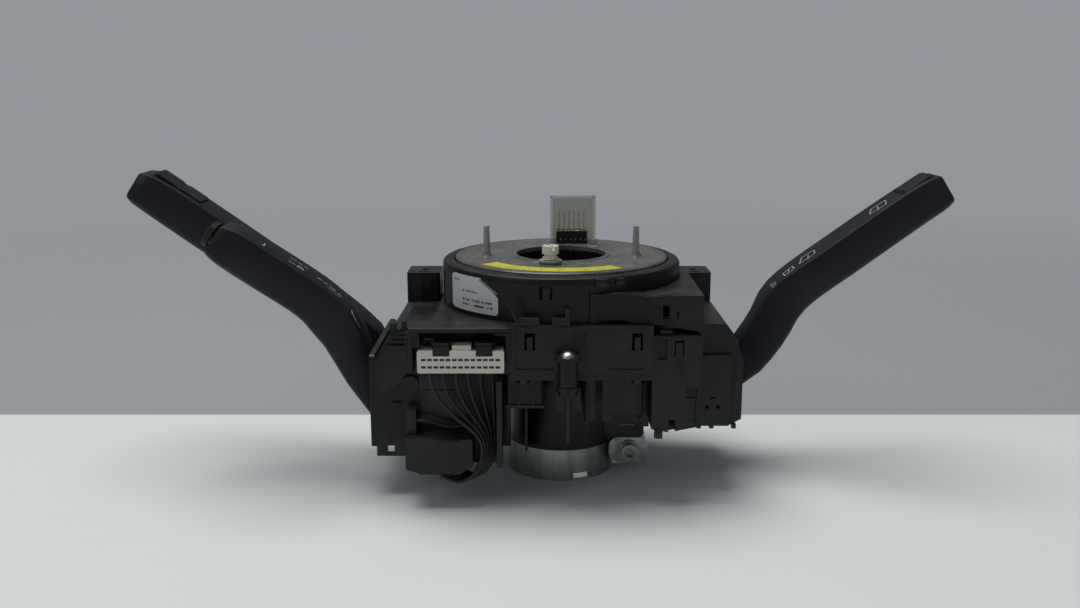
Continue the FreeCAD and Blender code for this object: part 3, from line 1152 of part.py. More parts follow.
def turn_rocker():
    cap = pill(ROCKER_HALF_L, ROCKER_HALF_W, -1.2, 1.0, 1.8)
    keel = slab("Y", [(-ROCKER_HALF_L + 1, -1.2), (0, -ROCKER_T - 0.7), (ROCKER_HALF_L - 1, -1.2),
                      (ROCKER_HALF_L - 1, -0.6), (1 - ROCKER_HALF_L, -0.6)], 1 - ROCKER_HALF_W, ROCKER_HALF_W - 1)
    groove = slab("Y", [(-3.0, 1.2), (0, 0.4), (3.0, 1.2)], -ROCKER_HALF_W - 1, ROCKER_HALF_W + 1)
    return placed(joined(cap, keel, rocker_pin(0, 0)).cut(groove), rocker_place())


def button_end():
    """The middle of the cruise stalk's end face and the way that it points."""
    reach, z, slope, _, _ = CRUISE_STATIONS[-1]
    way = math.radians(slope)
    y = CRUISE_Y - SPLAY * (reach - CRUISE_STATIONS[0][0])
    return V(-reach, y, z), V(-math.cos(way), 0, math.sin(way))


def cruise_stalk():
    shape = stalk(-1, CRUISE_Y, LEFT_PIVOT_Z, CRUISE_STATIONS, -SPLAY)
    centre, way = button_end()
    return shape.cut(rod(CRUISE_BUTTON_R + POCKET_GAP, centre - way * 6.0, centre + way * 5))


def cruise_button():
    centre, way = button_end()
    barrel = rod(CRUISE_BUTTON_R, centre - way * 4.2, centre + way * 2.4)
    crown = Part.makeCone(CRUISE_BUTTON_R, CRUISE_BUTTON_R - 1.6, 1.4, centre + way * 2.4, way)
    return joined(barrel, crown)


def wiper_place():
    return on_stalk(1, WIPER_Y, WIPER_STATIONS, WIPER_BUTTON_REACH, SPLAY)


def wiper_stalk():
    shape = stalk(1, WIPER_Y, RIGHT_PIVOT_Z, WIPER_STATIONS, SPLAY)
    pocket = pill(WIPER_BUTTON_HALF_L + POCKET_GAP, WIPER_BUTTON_HALF_W + POCKET_GAP,
                  -BUTTON_T - 1.6, 5, 2.2)
    return shape.cut(placed(pocket, wiper_place()))


def wiper_button():
    cap = pill(WIPER_BUTTON_HALF_L, WIPER_BUTTON_HALF_W, -BUTTON_T, BUTTON_PROUD - 0.6, 2.0)
    crown = pill(WIPER_BUTTON_HALF_L - 1.0, WIPER_BUTTON_HALF_W - 1.0, BUTTON_PROUD - 0.7, BUTTON_PROUD, 1.2)
    return placed(joined(cap, crown), wiper_place())


# Wires

def rounded_path(points):
    """Straight runs joined by tangent arcs, with each arc's radius and the whole length."""
    edges, radii, here = [], [], points[0]
    for before, corner, after in zip(points, points[1:], points[2:]):
        shorter = min((corner - before).Length, (after - corner).Length)
        turn = math.pi - (before - corner).getAngle(after - corner)
        radius = 0.45 * shorter / math.tan(turn / 2)
        start, middle, end = corner_arc(before, corner, after, radius)
        edges.append(Part.LineSegment(here, start).toShape())
        edges.append(Part.Arc(start, middle, end).toShape())
        radii.append(radius)
        here = end
    edges.append(Part.LineSegment(here, points[-1]).toShape())
    return Part.Wire(edges), radii


def wire_tube(points):
    """A wire's tube, with eight sides so that it stays light."""
    path, radii = rounded_path(points)
    way = (points[1] - points[0]).normalize()
    side = way.cross(Y).normalize()
    other = way.cross(side)
    corners = []
    for k in range(8):
        angle = math.pi / 4 * (k + 0.5)
        corners.append(points[0] + (side * math.cos(angle) + other * math.sin(angle)) * WIRE_R)
    ring = Part.makePolygon(corners + corners[:1])
    solid = path.makePipeShell([ring], True, True)
    area = 2 * math.sqrt(2) * WIRE_R ** 2
    print("wire: length %.1f, radii %s, volume share %.3f" % (
        path.Length, [round(r, 1) for r in radii], solid.Volume / (area * path.Length)))
    return solid


def loop_wire(index):
    """From the plug's underside down the channel, under the harness box and up into it."""
    y = wire_y(index)
    low_y = y + WIRE_SHIFT
    x = way_x(1 + 2 * index)
    down = WIRE_DOWN_X + 1.1 * index
    end = wire_end_x(index)
    span = down - end
    return wire_tube([
        V(x, y, PLUG_Z), V(x, y, 57.5), V(x + (down - x) * 0.42, y + 0.3 * WIRE_SHIFT, 45.0),
        V(down - 0.5, y + 0.8 * WIRE_SHIFT, 34.0), V(down, low_y, 23.0),
        V(down - 0.26 * span, low_y, BOX_BOTTOM - 4.2), V(down - 0.68 * span, low_y, BOX_BOTTOM - 4.8),
        V(end, low_y, BOX_BOTTOM + 2.5),
    ])


def cross_wire():
    """One wire that sags across the back of the box, from the post to the panel."""
    y = BACK_Y - 6.5
    points = [V(BOX_LEFT + 4.5, y, 40.4), V(-61.0, y, 40.4), V(-54.0, y, 37.2), V(-45.6, y, 37.6),
              V(-41.6, y + 2.4, 39.4), V(-41.6, BACK_Y, 39.4)]
    return wire_tube(points)


NODES = {
    "clamp_ring": clamp_ring,
    "clamp_screw": clamp_screw,
    "base_housing": base_housing,
    "sensor_housing": sensor_housing,
    "front_screw": front_screw,
    "housing_screws": housing_screws,
    "sensor_board": sensor_board,
    "hall_chips": hall_chips,
    "sensor_hub_gear": sensor_hub_gear,
    "measuring_gear_a": lambda: measuring_gear(GEAR_A_TEETH, GEAR_A),
    "measuring_gear_b": lambda: measuring_gear(GEAR_B_TEETH, GEAR_B),
    "magnet_a": lambda: magnet(GEAR_A),
    "magnet_b": lambda: magnet(GEAR_B),
    "ring_housing": ring_housing,
    "ring_rim": ring_rim,
    "ring_screws": ring_screws,
    "ribbon_cable": ribbon_cable,
    "rotor_hub": rotor_hub,
    "rotor_disc": rotor_disc,
    "lock_screw": lock_screw,
    "plug_tower": plug_tower,
    "plug_insert": plug_insert,
    "plug_pins": plug_pins,
    "connector_hood": connector_hood,
    "board_header": board_header,
    "main_plug": main_plug,
    "plug_latches": plug_latches,
    "left_switch_housing": left_switch_housing,
    "left_flange": left_flange,
    "harness_box": harness_box,
    "right_switch_housing": right_switch_housing,
    "right_flange": right_flange,
    "right_front_box": right_front_box,
    "upper_right_cover": upper_right_cover,
    "vehicle_socket": vehicle_socket,
    "socket_pins": socket_pins,
    "turn_stalk": turn_stalk,
    "turn_rocker": turn_rocker,
    "cruise_stalk": cruise_stalk,
    "cruise_button": cruise_button,
    "wiper_stalk": wiper_stalk,
    "wiper_button": wiper_button,
    "cross_wire": cross_wire,
}
SWITCHES = {
    "turn": (-1, TURN_Y, LEFT_PIVOT_Z, LEFT_CAVITY_Z),
    "cruise": (-1, CRUISE_Y, LEFT_PIVOT_Z, LEFT_CAVITY_Z),
    "wiper": (1, WIPER_Y, RIGHT_PIVOT_Z, RIGHT_CAVITY_Z),
}


def main():
    os.makedirs("parts", exist_ok=True)
    shapes = {name: make() for name, make in NODES.items()}
    for name, (side, y, pivot_z, cavity_z) in SWITCHES.items():
        shapes[name + "_carrier"] = carrier(side, y, pivot_z, cavity_z)
        shapes[name + "_pivot_pin"] = pivot_pin(side, y, pivot_z)
        shapes[name + "_plunger"] = plunger(side, y, pivot_z)
    for k in range(LOOP_WIRES):
        shapes["loop_wire_%d" % (k + 1)] = loop_wire(k)
    for name, shape in shapes.items():
        shape.exportStep(os.path.join("parts", name + ".step"))
    print(len(shapes), "nodes")


main()
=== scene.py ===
"""The finish of a steering column switch cluster with its steering angle sensor.

Lengths are in millimetres in the named values and become metres where a piece is made. The origin
is on the column axis under the clamp ring, +Z is up the column and the picture looks along +Y.
"""
import json
import math

import bmesh
import bpy
from mathutils import Matrix, Vector


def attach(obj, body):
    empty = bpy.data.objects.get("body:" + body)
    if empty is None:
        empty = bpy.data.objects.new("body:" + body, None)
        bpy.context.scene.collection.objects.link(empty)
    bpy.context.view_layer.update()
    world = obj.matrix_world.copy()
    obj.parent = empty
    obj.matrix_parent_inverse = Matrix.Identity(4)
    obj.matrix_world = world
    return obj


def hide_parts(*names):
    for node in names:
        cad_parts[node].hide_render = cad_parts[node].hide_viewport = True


MM = 0.001
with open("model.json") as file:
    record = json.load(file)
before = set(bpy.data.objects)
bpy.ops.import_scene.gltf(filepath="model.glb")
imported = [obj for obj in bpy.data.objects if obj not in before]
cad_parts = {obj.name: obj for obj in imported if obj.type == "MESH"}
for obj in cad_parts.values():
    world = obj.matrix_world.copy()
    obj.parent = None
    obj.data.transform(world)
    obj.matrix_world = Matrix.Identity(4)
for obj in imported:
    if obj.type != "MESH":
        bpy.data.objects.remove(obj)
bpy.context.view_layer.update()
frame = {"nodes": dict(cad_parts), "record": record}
NODES = frame["nodes"]
SLOT_OF = {part["node"]: part["material_slot"] for part in frame["record"]["subparts"]}
BODY_OF = {node: body for body, nodes in frame["record"]["behaviour"]["bodies"].items() for node in nodes}

# Camera and stage
CAMERA_AT = (-10.4, -526.5, 197.7)
CAMERA_PITCH = 12.28
LENS = 36.0
SENSOR = 36.0
WALL_LINE_Y = 77.0
FLOOR_HALF = 2500.0
FADE_START = 250.0
FADE_END = 1300.0
# Name, place and target in metres, size, power and colour
LAMPS = [
    ("ceiling", (-0.45, 0.35, 2.6), (0, 0, 0.05), 2.0, 58.0, (1.0, 0.99, 0.97)),
    ("window", (-1.6, -1.2, 1.5), (0, 0, 0.07), 1.0, 5.0, (0.90, 0.95, 1.0)),
    ("fill", (1.0, -1.1, 0.6), (0, 0, 0.07), 0.9, 0.7, (0.95, 0.97, 1.0)),
]
WALL_COLOUR = (0.285, 0.305, 0.33, 1)
AMBIENT_COLOUR = (0.80, 0.85, 0.92, 1)
AMBIENT_STRENGTH = 0.16

# Contact ring and its disc
RING_R = 58.1
DISC_TOP = 108.35

# Label on the ring's wall and film on its disc
LABEL_LEFT = -51.6
LABEL_RIGHT = -29.4
LABEL_BOTTOM = 88.4
LABEL_TOP = 104.8
LABEL_Y = -60.5
LABEL_CORNER = 1.7
LABEL_SLICE = 1.2
LABEL_PROUD = 0.20
PAPER_T = 0.15
CREASE_HALF_L = 4.9
CREASE_HALF_W = 0.55
CREASE_SHIFT = (0.4, 0.5)
CREASE_PROUD = 0.30
FOLD_X = -37.8
FOLD_DROP = 6.0
# Height, start, end and half thickness of each row of dashes
LABEL_ROWS = [
    (102.0, -50.2, -48.2, 0.45), (97.6, -46.3, -39.0, 0.40), (93.6, -46.3, -32.0, 0.45),
    (91.4, -46.3, -32.0, 0.45),
]
STRIP_IN = 38.6
STRIP_OUT = 47.6
STRIP_FROM = -53.0
STRIP_TO = 35.0
STRIP_LIFT = 0.05
STRIP_T = 0.16
STRIP_STEPS = 40

# Dark blocks of painted shade in the plug's face cells, and contact ends in the insert
CELL_FIRST_Z = 2.8
CELL_ROW = 3.4
CELL_HALF = (0.98, 0.52)
CELL_Y = (-0.04, 0.3)
CONTACTS = 6
CONTACT_X = 6.5
CONTACT_PITCH = 2.54
CONTACT_HALF = 0.35
CONTACT_Y = (20.45, 20.8)
CONTACT_Z = (112.0, 112.9)
CONTACT_EDGE = 0.08

# Small blocks on the fixed housings: two corners and the width of the broken edge
TRIM = [
    ((36.8, -44.0, 33.8), (40.6, -42.0, 60.9), 0.3), ((-28.4, -31.0, 19.5), (-24.4, -29.0, 60.9), 0.3),
    ((14.4, -57.3, 103.3), (19.4, -54.8, 106.6), 0.3), ((23.6, -53.8, 103.2), (27.6, -51.0, 106.4), 0.3),
    ((41.5, -60.6, 33.6), (45.2, -58.0, 38.6), 0.3), ((-30.6, -62.6, 82.4), (-25.0, -61.6, 83.4), 0.2),
    ((-68.4, -62.7, 84.4), (-24.6, -61.7, 85.4), 0.25), ((43.0, -60.9, 83.0), (48.4, -59.8, 84.2), 0.2),
    ((-79.5, -46.2, 45.0), (-74.0, -44.8, 46.4), 0.25), ((64.2, -41.9, 67.0), (78.0, -40.8, 68.0), 0.2),
    ((20.0, -62.7, 66.0), (36.0, -61.8, 66.9), 0.2), ((-22.0, -62.7, 66.0), (-4.0, -61.8, 66.9), 0.2),
    ((-56.0, -62.6, 31.8), (-46.0, -61.8, 33.2), 0.25),
]

# Wires
WIRE_R = 0.85
LOOP_WIRES = 6
WIRE_SPACING = 1.8
WIRE_SHIFT = 4.0
PLUG_Z = 65.4
PLUG_LEFT = -65.0
PLUG_W = 38.7
PLUG_FRONT = -64.0
WAYS = 13
WAY_PITCH = 2.75
BOX_BOTTOM = 17.0
BACK_Y = -48.0

# Stalks: reach, height, slope in degrees, half thickness and half width, from the root to the tip
SPLAY = 0.03
TURN_Y = 17.0
CRUISE_Y = -22.0
WIPER_Y = 5.0
TURN_STATIONS = [
    (90.7, 48.0, 0.0, 14.0, 11.0), (98.5, 58.5, 30.0, 10.2, 11.0), (110.0, 69.5, 42.0, 9.8, 11.5),
    (125.0, 81.2, 37.0, 9.8, 12.0), (150.0, 98.6, 35.0, 9.8, 12.0), (190.0, 126.6, 35.0, 9.8, 12.0),
    (205.0, 136.6, 34.0, 9.3, 11.5), (211.5, 140.3, 34.0, 8.4, 10.8), (213.6, 141.2, 34.0, 7.3, 9.8),
]
CRUISE_STATIONS = [
    (90.7, 48.0, 0.0, 14.0, 11.0), (98.0, 60.5, 24.0, 10.7, 11.0), (103.5, 72.5, 47.0, 9.6, 11.0),
    (110.0, 82.5, 45.0, 10.2, 11.5), (118.5, 91.4, 35.0, 9.6, 11.5), (142.0, 107.6, 34.0, 9.6, 11.5),
    (156.0, 117.0, 34.0, 9.4, 11.0), (162.0, 120.4, 34.0, 7.9, 9.8),
]
WIPER_STATIONS = [
    (87.9, 50.3, 0.0, 10.6, 11.0), (95.0, 57.0, 33.0, 9.6, 11.0), (104.5, 70.5, 62.0, 9.3, 11.5),
    (110.5, 83.0, 56.0, 9.6, 12.0), (119.5, 92.3, 40.0, 9.4, 12.0), (140.0, 107.4, 36.0, 9.4, 12.0),
    (172.0, 130.4, 36.0, 9.2, 11.5), (184.0, 138.2, 34.0, 8.7, 11.0), (188.7, 140.8, 33.0, 7.4, 9.8),
]
# Strokes on the upper faces: reach and place across at both ends, and width
WIPER_MARKS = [
    (157.5, -4.0, 165.0, -5.5, 0.5), (165.0, -5.5, 166.5, 1.0, 0.5), (157.5, -4.0, 160.0, 2.0, 0.5),
    (160.0, 2.0, 166.5, 1.0, 0.5), (161.0, -6.5, 162.5, 0.0, 0.4),
    (124.0, -5.0, 131.0, -6.0, 0.5), (131.0, -6.0, 132.0, 0.0, 0.5), (124.0, -5.0, 126.5, 1.5, 0.5),
    (126.5, 1.5, 132.0, 0.0, 0.5), (127.5, -7.0, 129.0, -1.0, 0.4),
    (117.5, -6.0, 121.5, -6.0, 0.5), (117.5, -1.0, 121.5, -1.0, 0.5), (117.5, -6.0, 117.5, -1.0, 0.5),
    (121.5, -6.0, 121.5, -1.0, 0.5), (119.0, -6.0, 120.0, -1.0, 0.4),
    (112.5, -6.5, 114.0, -6.5, 0.6), (112.5, -3.5, 114.5, -3.5, 0.6), (112.5, -1.0, 113.5, -1.0, 0.6),
]
CRUISE_MARKS = [
    (144.5, -5.5, 144.9, -1.5, 0.6), (144.0, -5.8, 145.4, -5.8, 0.4),
    (126.0, 2.0, 127.8, 2.0, 0.5), (128.6, 2.0, 130.4, 2.0, 0.5), (131.2, 2.0, 134.0, 2.0, 0.5),
    (126.5, -4.5, 129.5, -5.5, 0.5), (129.5, -5.5, 129.0, -2.0, 0.5), (129.0, -2.0, 126.5, -4.5, 0.5),
    (130.5, -4.5, 133.5, -4.0, 0.5),
    (111.5, -1.5, 113.0, -1.5, 0.6), (113.8, -1.5, 116.0, -1.5, 0.6), (116.8, -1.5, 118.2, -1.5, 0.6),
    (119.0, -1.5, 121.0, -1.5, 0.6), (112.0, -4.5, 116.0, -4.5, 0.4),
    (101.5, -3.0, 102.5, -5.2, 0.5), (102.5, -5.2, 104.5, -6.2, 0.5), (104.5, -6.2, 106.5, -5.2, 0.5),
    (106.5, -5.2, 107.3, -3.0, 0.5),
]
STALK_STEP = 3.6
PIVOT_REACH = 71.0
BOSS_HALF = (7.0, 6.4, 8.0)
RIDGE_EDGE = 0.9
SOFT_EDGE = 3.2
TIP_EDGE = 1.5
NECK_START = 12
SHARP_EDGE = 40.0
PIN_BORE_R = 2.05
PIN_HALF = 20
PLUNGER_R = 2.6
PLUNGER_WELL = (8, 3.2)
# Wells of the buttons: reach, half length, half width and depth
ROCKER = (197.0, 13.5, 8.1, 4.0)
WIPER_BUTTON = (179.0, 8.7, 7.3, 5.0)
WELL_ABOVE = 4.0
WELL_CORNER = 2.0
CRUISE_BORE = (5.1, 6.0)
# Name, side, y, stations, drift, lean of the neck (full at, none at, depth) and well
STALKS = [
    ("turn_stalk", -1, TURN_Y, TURN_STATIONS, SPLAY, (98.0, 112.0, 1.5), ROCKER),
    ("cruise_stalk", -1, CRUISE_Y, CRUISE_STATIONS, -SPLAY, (100.0, 116.0, 2.0), None),
    ("wiper_stalk", 1, WIPER_Y, WIPER_STATIONS, SPLAY, (111.0, 123.0, 5.0), WIPER_BUTTON),
]

# Cap of the cruise stalk's button, with the width and rise of each inset of its finger hollow
CAP_BARREL_R = 4.6
CAP_BARREL = (4.2, 2.4)
CAP_OUT = 3.1
CAP_SIZE = (2.4, 13.4, 12.2)
CAP_CORNER = 4.2
CAP_INSETS = ((1.0, 0.5), (1.1, 0.0), (0.7, -1.5), (0.8, -0.3))

# Mouldings
MERGE = 2e-6
FLAT_ANGLE = 0.6
MOULD_ANGLE = 32.0
ROD_SIDES = 32

# Materials

class Signal:
    """One output of a shader node. Sums and products of signals add Math nodes."""

    def __init__(self, finish, socket):
        self.finish = finish
        self.socket = socket

    def _maths(self, operation, first, second=0.0):
        return self.finish.node("Math", {"operation": operation}, {0: first, 1: second})

    def __add__(self, other):
        return self._maths("ADD", self, other)

    def __sub__(self, other):
        return self._maths("SUBTRACT", self, other)

    def __rsub__(self, other):
        return self._maths("SUBTRACT", other, self)

    def __mul__(self, other):
        return self._maths("MULTIPLY", self, other)

    def __pow__(self, other):
        return self._maths("POWER", self, other)

    __radd__ = __add__
    __rmul__ = __mul__

    def near(self, centre, half, soft):
        """1 within half of the centre, and 0 further than half and soft."""
        away = self.finish.node("Math", {"operation": "ABSOLUTE"}, {0: self - centre})
        return 1.0 - away.ramp(half, half + soft)

    def ramp(self, low, high):
        """0 below low, 1 above high and smooth between."""
        return self.finish.node("MapRange", {"interpolation_type": "SMOOTHSTEP"},
                                {"Value": self, "From Min": low, "From Max": high})


class Finish:
    """A material that is built from expressions."""

    def __init__(self, name):
        self.material = bpy.data.materials.new(name)
        self.material.use_nodes = True
        self.tree = self.material.node_tree
        self.tree.nodes.clear()
        self.place = self.node("TexCoord", {}, {}, "Object")

    def node(self, kind, settings, inputs, output=0):
        made = self.tree.nodes.new("ShaderNode" + kind)
        for key, value in settings.items():
            setattr(made, key, value)
        for key, value in inputs.items():
            if isinstance(value, Signal):
                self.tree.links.new(value.socket, made.inputs[key])
            else:
                made.inputs[key].default_value = value
        return Signal(self, made.outputs[output])

    def scaled(self, x, y, z):
        return self.node("Mapping", {}, {"Vector": self.place, "Scale": (x, y, z)})

    def noise(self, scale, detail=3.0, roughness=0.5, place=None):
        return self.node("TexNoise", {}, {"Vector": place or self.place, "Scale": scale, "Detail": detail,
                                          "Roughness": roughness})

    def mix(self, share, first, second):
        return self.node("Mix", {"data_type": "RGBA"}, {0: share, 6: first, 7: second}, 2)

    def part_of(self, vector, axis):
        return self.node("SeparateXYZ", {}, {0: vector}, axis)

    def edges(self):
        """1 on the broken outer edges of a piece, where handling has polished it and where a highlight is
        painted.
        """
        return self.node("NewGeometry", {}, {}, "Pointiness").ramp(0.515, 0.60)

    def facing_up(self):
        return self.part_of(self.node("NewGeometry", {}, {}, "Normal"), "Z")

    def bump(self, height, distance, strength):
        return self.node("Bump", {}, {"Height": height, "Distance": distance, "Strength": strength})

    def surface(self, **sockets):
        named = {key.replace("_", " "): value for key, value in sockets.items()}
        shader = self.node("BsdfPrincipled", {}, named)
        self.node_output(shader)
        return self.material

    def node_output(self, shader):
        made = self.tree.nodes.new("ShaderNodeOutputMaterial")
        self.tree.links.new(shader.socket, made.inputs["Surface"])


def grey(value, cool=0.0):
    return (value * (1 - cool), value, value * (1 + cool), 1.0)


def moulded_black(name, shade=0.0052, roughness=0.36, dust=0.22, grain=1500.0):
    """Black glass-filled plastic: a fine grain, handling marks, edges painted lighter for wear and a
    painted highlight, dust on what faces up.
    """
    m = Finish(name)
    cloud = m.noise(70.0, 4.0, 0.6)
    speck = m.noise(900.0, 2.0, 0.6)
    settled = m.facing_up().ramp(0.35, 0.95) * (cloud * 0.7 + speck * 0.5).ramp(0.42, 0.90) * dust
    smear = m.noise(22.0, 5.0, 0.65).ramp(0.45, 0.75)
    # Lighter edges: partly wear from handling, partly a painted highlight.
    wear_and_highlight = m.edges() * (cloud * 0.8 + 0.2)
    plain = m.mix(smear * 0.35, grey(shade, 0.10), grey(shade * 1.8, 0.12))
    colour = m.mix(wear_and_highlight * 0.35, plain, grey(0.045, 0.04))
    colour = m.mix(settled, colour, (0.13, 0.13, 0.125, 1.0))
    rough = smear * 0.12 + settled * 0.5 + speck * 0.06 - wear_and_highlight * 0.10 + (roughness - 0.02)
    return m.surface(Base_Color=colour, Roughness=rough, Specular_IOR_Level=0.30,
                     Normal=m.bump(m.noise(grain, 2.0, 0.5), 0.00006, 0.5))


def satin_stalk(name):
    """Soft blue-black stalk plastic with a fine even grain, a little polish from use, and edges painted
    lighter for wear and a painted highlight.
    """
    m = Finish(name)
    polish = m.noise(30.0, 3.0, 0.5).ramp(0.35, 0.8)
    # Lighter edges: partly wear from use, partly a painted highlight.
    wear_and_highlight = m.edges()
    colour = m.mix(polish * 0.4, (0.0052, 0.0068, 0.0115, 1), (0.0085, 0.0110, 0.0175, 1))
    colour = m.mix(wear_and_highlight * 0.3, colour, (0.028, 0.031, 0.036, 1))
    rough = 0.46 - polish * 0.10 - wear_and_highlight * 0.06 + m.noise(500.0, 2.0, 0.5) * 0.05
    return m.surface(Base_Color=colour, Roughness=rough, Specular_IOR_Level=0.34,
                     Normal=m.bump(m.noise(2600.0, 2.0, 0.5), 0.00003, 0.5))


def soft_black(name):
    m = Finish(name)
    wear = m.noise(160.0, 3.0, 0.6)
    return m.surface(Base_Color=m.mix(wear, grey(0.0045), grey(0.0095, 0.05)), Roughness=wear * 0.2 + 0.42,
                     Normal=m.bump(m.noise(2200.0), 0.00003, 0.4))


def cast_aluminium(name):
    """Turned and cast ring: fine turning lines round it, stains, darker upright bands of painted
    reflection and small nicks.
    """
    m = Finish(name)
    lines = m.noise(1.0, 2.0, 0.6, m.scaled(60.0, 60.0, 3200.0))
    stain = m.noise(60.0, 5.0, 0.7).ramp(0.42, 0.75)
    reflection_band = m.noise(1.0, 4.0, 0.6, m.scaled(170.0, 170.0, 12.0)).ramp(0.40, 0.72)
    nick = m.noise(420.0, 1.0, 0.5).ramp(0.70, 0.78)
    colour = m.mix(stain * 0.7, (0.46, 0.475, 0.47, 1), (0.22, 0.225, 0.22, 1))
    # Darker upright bands round the ring are a painted reflection.
    colour = m.mix(reflection_band * 0.55, colour, (0.16, 0.165, 0.162, 1))
    colour = m.mix(nick * 0.6, colour, (0.66, 0.66, 0.65, 1))
    height = lines * 0.5 + m.noise(700.0, 3.0, 0.6) * 0.6
    return m.surface(Base_Color=colour, Metallic=1.0, Roughness=stain * 0.16 + lines * 0.10 + 0.25,
                     Normal=m.bump(height, 0.00008, 0.5))


def plated_steel(name, shade=0.42):
    m = Finish(name)
    wear = m.noise(350.0, 3.0, 0.6)
    return m.surface(Base_Color=m.mix(wear, grey(shade * 0.6), grey(shade)), Metallic=1.0,
                     Roughness=wear * 0.2 + 0.22, Normal=m.bump(wear, 0.00004, 0.4))


def dull_plastic(name, colour, roughness=0.42, stain=0.25, grain=1400.0):
    """An opaque coloured moulding with a little grime in it."""
    m = Finish(name)
    dark = tuple(part * 0.62 for part in colour)
    grime = m.noise(130.0, 5.0, 0.65).ramp(0.45, 0.85)
    return m.surface(Base_Color=m.mix(grime * stain, (*colour, 1), (*dark, 1)),
                     Roughness=grime * 0.15 + roughness,
                     Normal=m.bump(m.noise(grain), 0.00003, 0.4))


def clear_plastic(name, colour, through, roughness, haze=0.5, dirt=(0.22, 0.21, 0.18, 1)):
    """Milky see-through plastic with dust on what faces up."""
    m = Finish(name)
    cloud = m.noise(90.0, 5.0, 0.65).ramp(0.35, 0.8)
    speck = m.noise(1100.0, 2.0, 0.7).ramp(0.55, 0.75)
    dusty = m.facing_up().ramp(0.5, 0.95) * (cloud * 0.6 + speck * 0.4) * haze
    shade = m.mix(dusty, (*colour, 1), dirt)
    return m.surface(Base_Color=shade, Transmission_Weight=through, IOR=1.47,
                     Roughness=dusty * 0.4 + cloud * 0.06 + roughness,
                     Normal=m.bump(m.noise(600.0, 3.0), 0.00004, 0.4))


def disc_plastic(name):
    """The disc: smoky plastic over dark parts, with moulded rings, dust and painted shade towards the rim.
    Its pegs are paler.
    """
    m = Finish(name)
    x, y = m.part_of(m.place, "X"), m.part_of(m.place, "Y")
    radius = (x * x + y * y) ** 0.5
    cloud = m.noise(75.0, 5.0, 0.65).ramp(0.34, 0.78)
    speck = m.noise(900.0, 2.0, 0.7).ramp(0.60, 0.72)
    scuff = m.noise(1.0, 4.0, 0.7, m.scaled(60.0, 420.0, 60.0)).ramp(0.52, 0.70)
    amber = m.noise(34.0, 4.0, 0.6).ramp(0.48, 0.70) * radius.near(0.037, 0.004, 0.006)
    rings = radius.near(0.0285, 0.0003, 0.0004) + radius.near(0.0335, 0.0002, 0.0003) \
        + radius.near(0.0492, 0.0004, 0.0004)
    colour = m.mix(cloud * 0.8, (0.085, 0.085, 0.078, 1), (0.175, 0.175, 0.16, 1))
    colour = m.mix(amber * 0.45, colour, (0.155, 0.125, 0.065, 1))
    colour = m.mix(scuff * 0.35, colour, (0.26, 0.26, 0.24, 1))
    colour = m.mix(speck * 0.5, colour, (0.42, 0.42, 0.39, 1))
    # Darker at the disc's outer edge, next to the rim: painted shade.
    colour = m.mix(radius.ramp(0.0475, 0.0515) * 0.5, colour, (0.06, 0.06, 0.058, 1))
    peg = m.part_of(m.place, "Z").ramp((DISC_TOP + 0.8) * MM, (DISC_TOP + 2.0) * MM)
    colour = m.mix(peg, colour, (0.34, 0.34, 0.31, 1))
    height = rings * 0.8 + m.noise(240.0, 3.0, 0.6) * 0.5
    return m.surface(Base_Color=colour, Roughness=cloud * 0.18 + speck * 0.2 + 0.17,
                     Specular_IOR_Level=0.6, Normal=m.bump(height, 0.0002, 0.6))


def printed_paper(name, colour, marks):
    """A worn paper or film with rows of plain dashes: each row is a height, a start and an end."""
    m = Finish(name)
    wear = m.noise(240.0, 4.0, 0.6)
    dirt = m.noise(60.0, 4.0, 0.7).ramp(0.50, 0.80)
    dim = tuple(part * 0.62 for part in colour)
    colour = m.mix(dirt * 0.6, (*colour, 1), (*dim, 1))
    x, z = m.part_of(m.place, "X"), m.part_of(m.place, "Z")
    broken = m.noise(1.0, 0.0, 0.5, m.scaled(1400.0, 1400.0, 300.0)).ramp(0.44, 0.50)
    for height, start, end, half in marks:
        row = z.near(height * MM, half * MM, 0.0001)
        run = x.near((start + end) / 2 * MM, (end - start) / 2 * MM, 0.0001)
        colour = m.mix(row * run * broken, colour, (0.035, 0.035, 0.04, 1))
    return m.surface(Base_Color=colour, Roughness=wear * 0.15 + 0.42,
                     Normal=m.bump(wear, 0.00003, 0.4))


def strip_film(name):
    """Yellow film with faint plain specks of print along it."""
    m = Finish(name)
    wear = m.noise(150.0, 4.0, 0.6)
    print_mark = m.noise(1.0, 1.0, 0.5, m.scaled(700.0, 320.0, 320.0)).ramp(0.60, 0.66)
    colour = m.mix(wear.ramp(0.35, 0.75), (0.66, 0.64, 0.055, 1), (0.44, 0.42, 0.05, 1))
    colour = m.mix(print_mark * 0.5, colour, (0.16, 0.15, 0.05, 1))
    return m.surface(Base_Color=colour, Roughness=wear * 0.2 + 0.25,
                     Normal=m.bump(wear, 0.00003, 0.4))


def floor_finish():
    """Pale in front of the wall line, the wall's grey behind it, and gone far away."""
    m = Finish("stage_floor")
    y = m.part_of(m.place, "Y")
    far = m.node("VectorMath", {"operation": "LENGTH"}, {0: m.place}, "Value")
    wall = y.ramp((WALL_LINE_Y - 1.0) * MM, (WALL_LINE_Y + 1.5) * MM)
    mark = m.noise(9.0, 3.0, 0.5)
    pale = m.mix(mark * 0.4, (0.735, 0.765, 0.77, 1), (0.66, 0.69, 0.695, 1))
    colour = m.mix(wall, pale, (0.335, 0.352, 0.372, 1))
    body = m.node("BsdfPrincipled", {}, {"Base Color": colour, "Roughness": 0.45 + mark * 0.1,
                                         "Specular IOR Level": 0.25})
    clear = m.node("BsdfTransparent", {}, {})
    gone = far.ramp(FADE_START * MM, FADE_END * MM)
    m.node_output(m.node("MixShader", {}, {0: gone, 1: body, 2: clear}))
    return m.material


# Modelling helpers

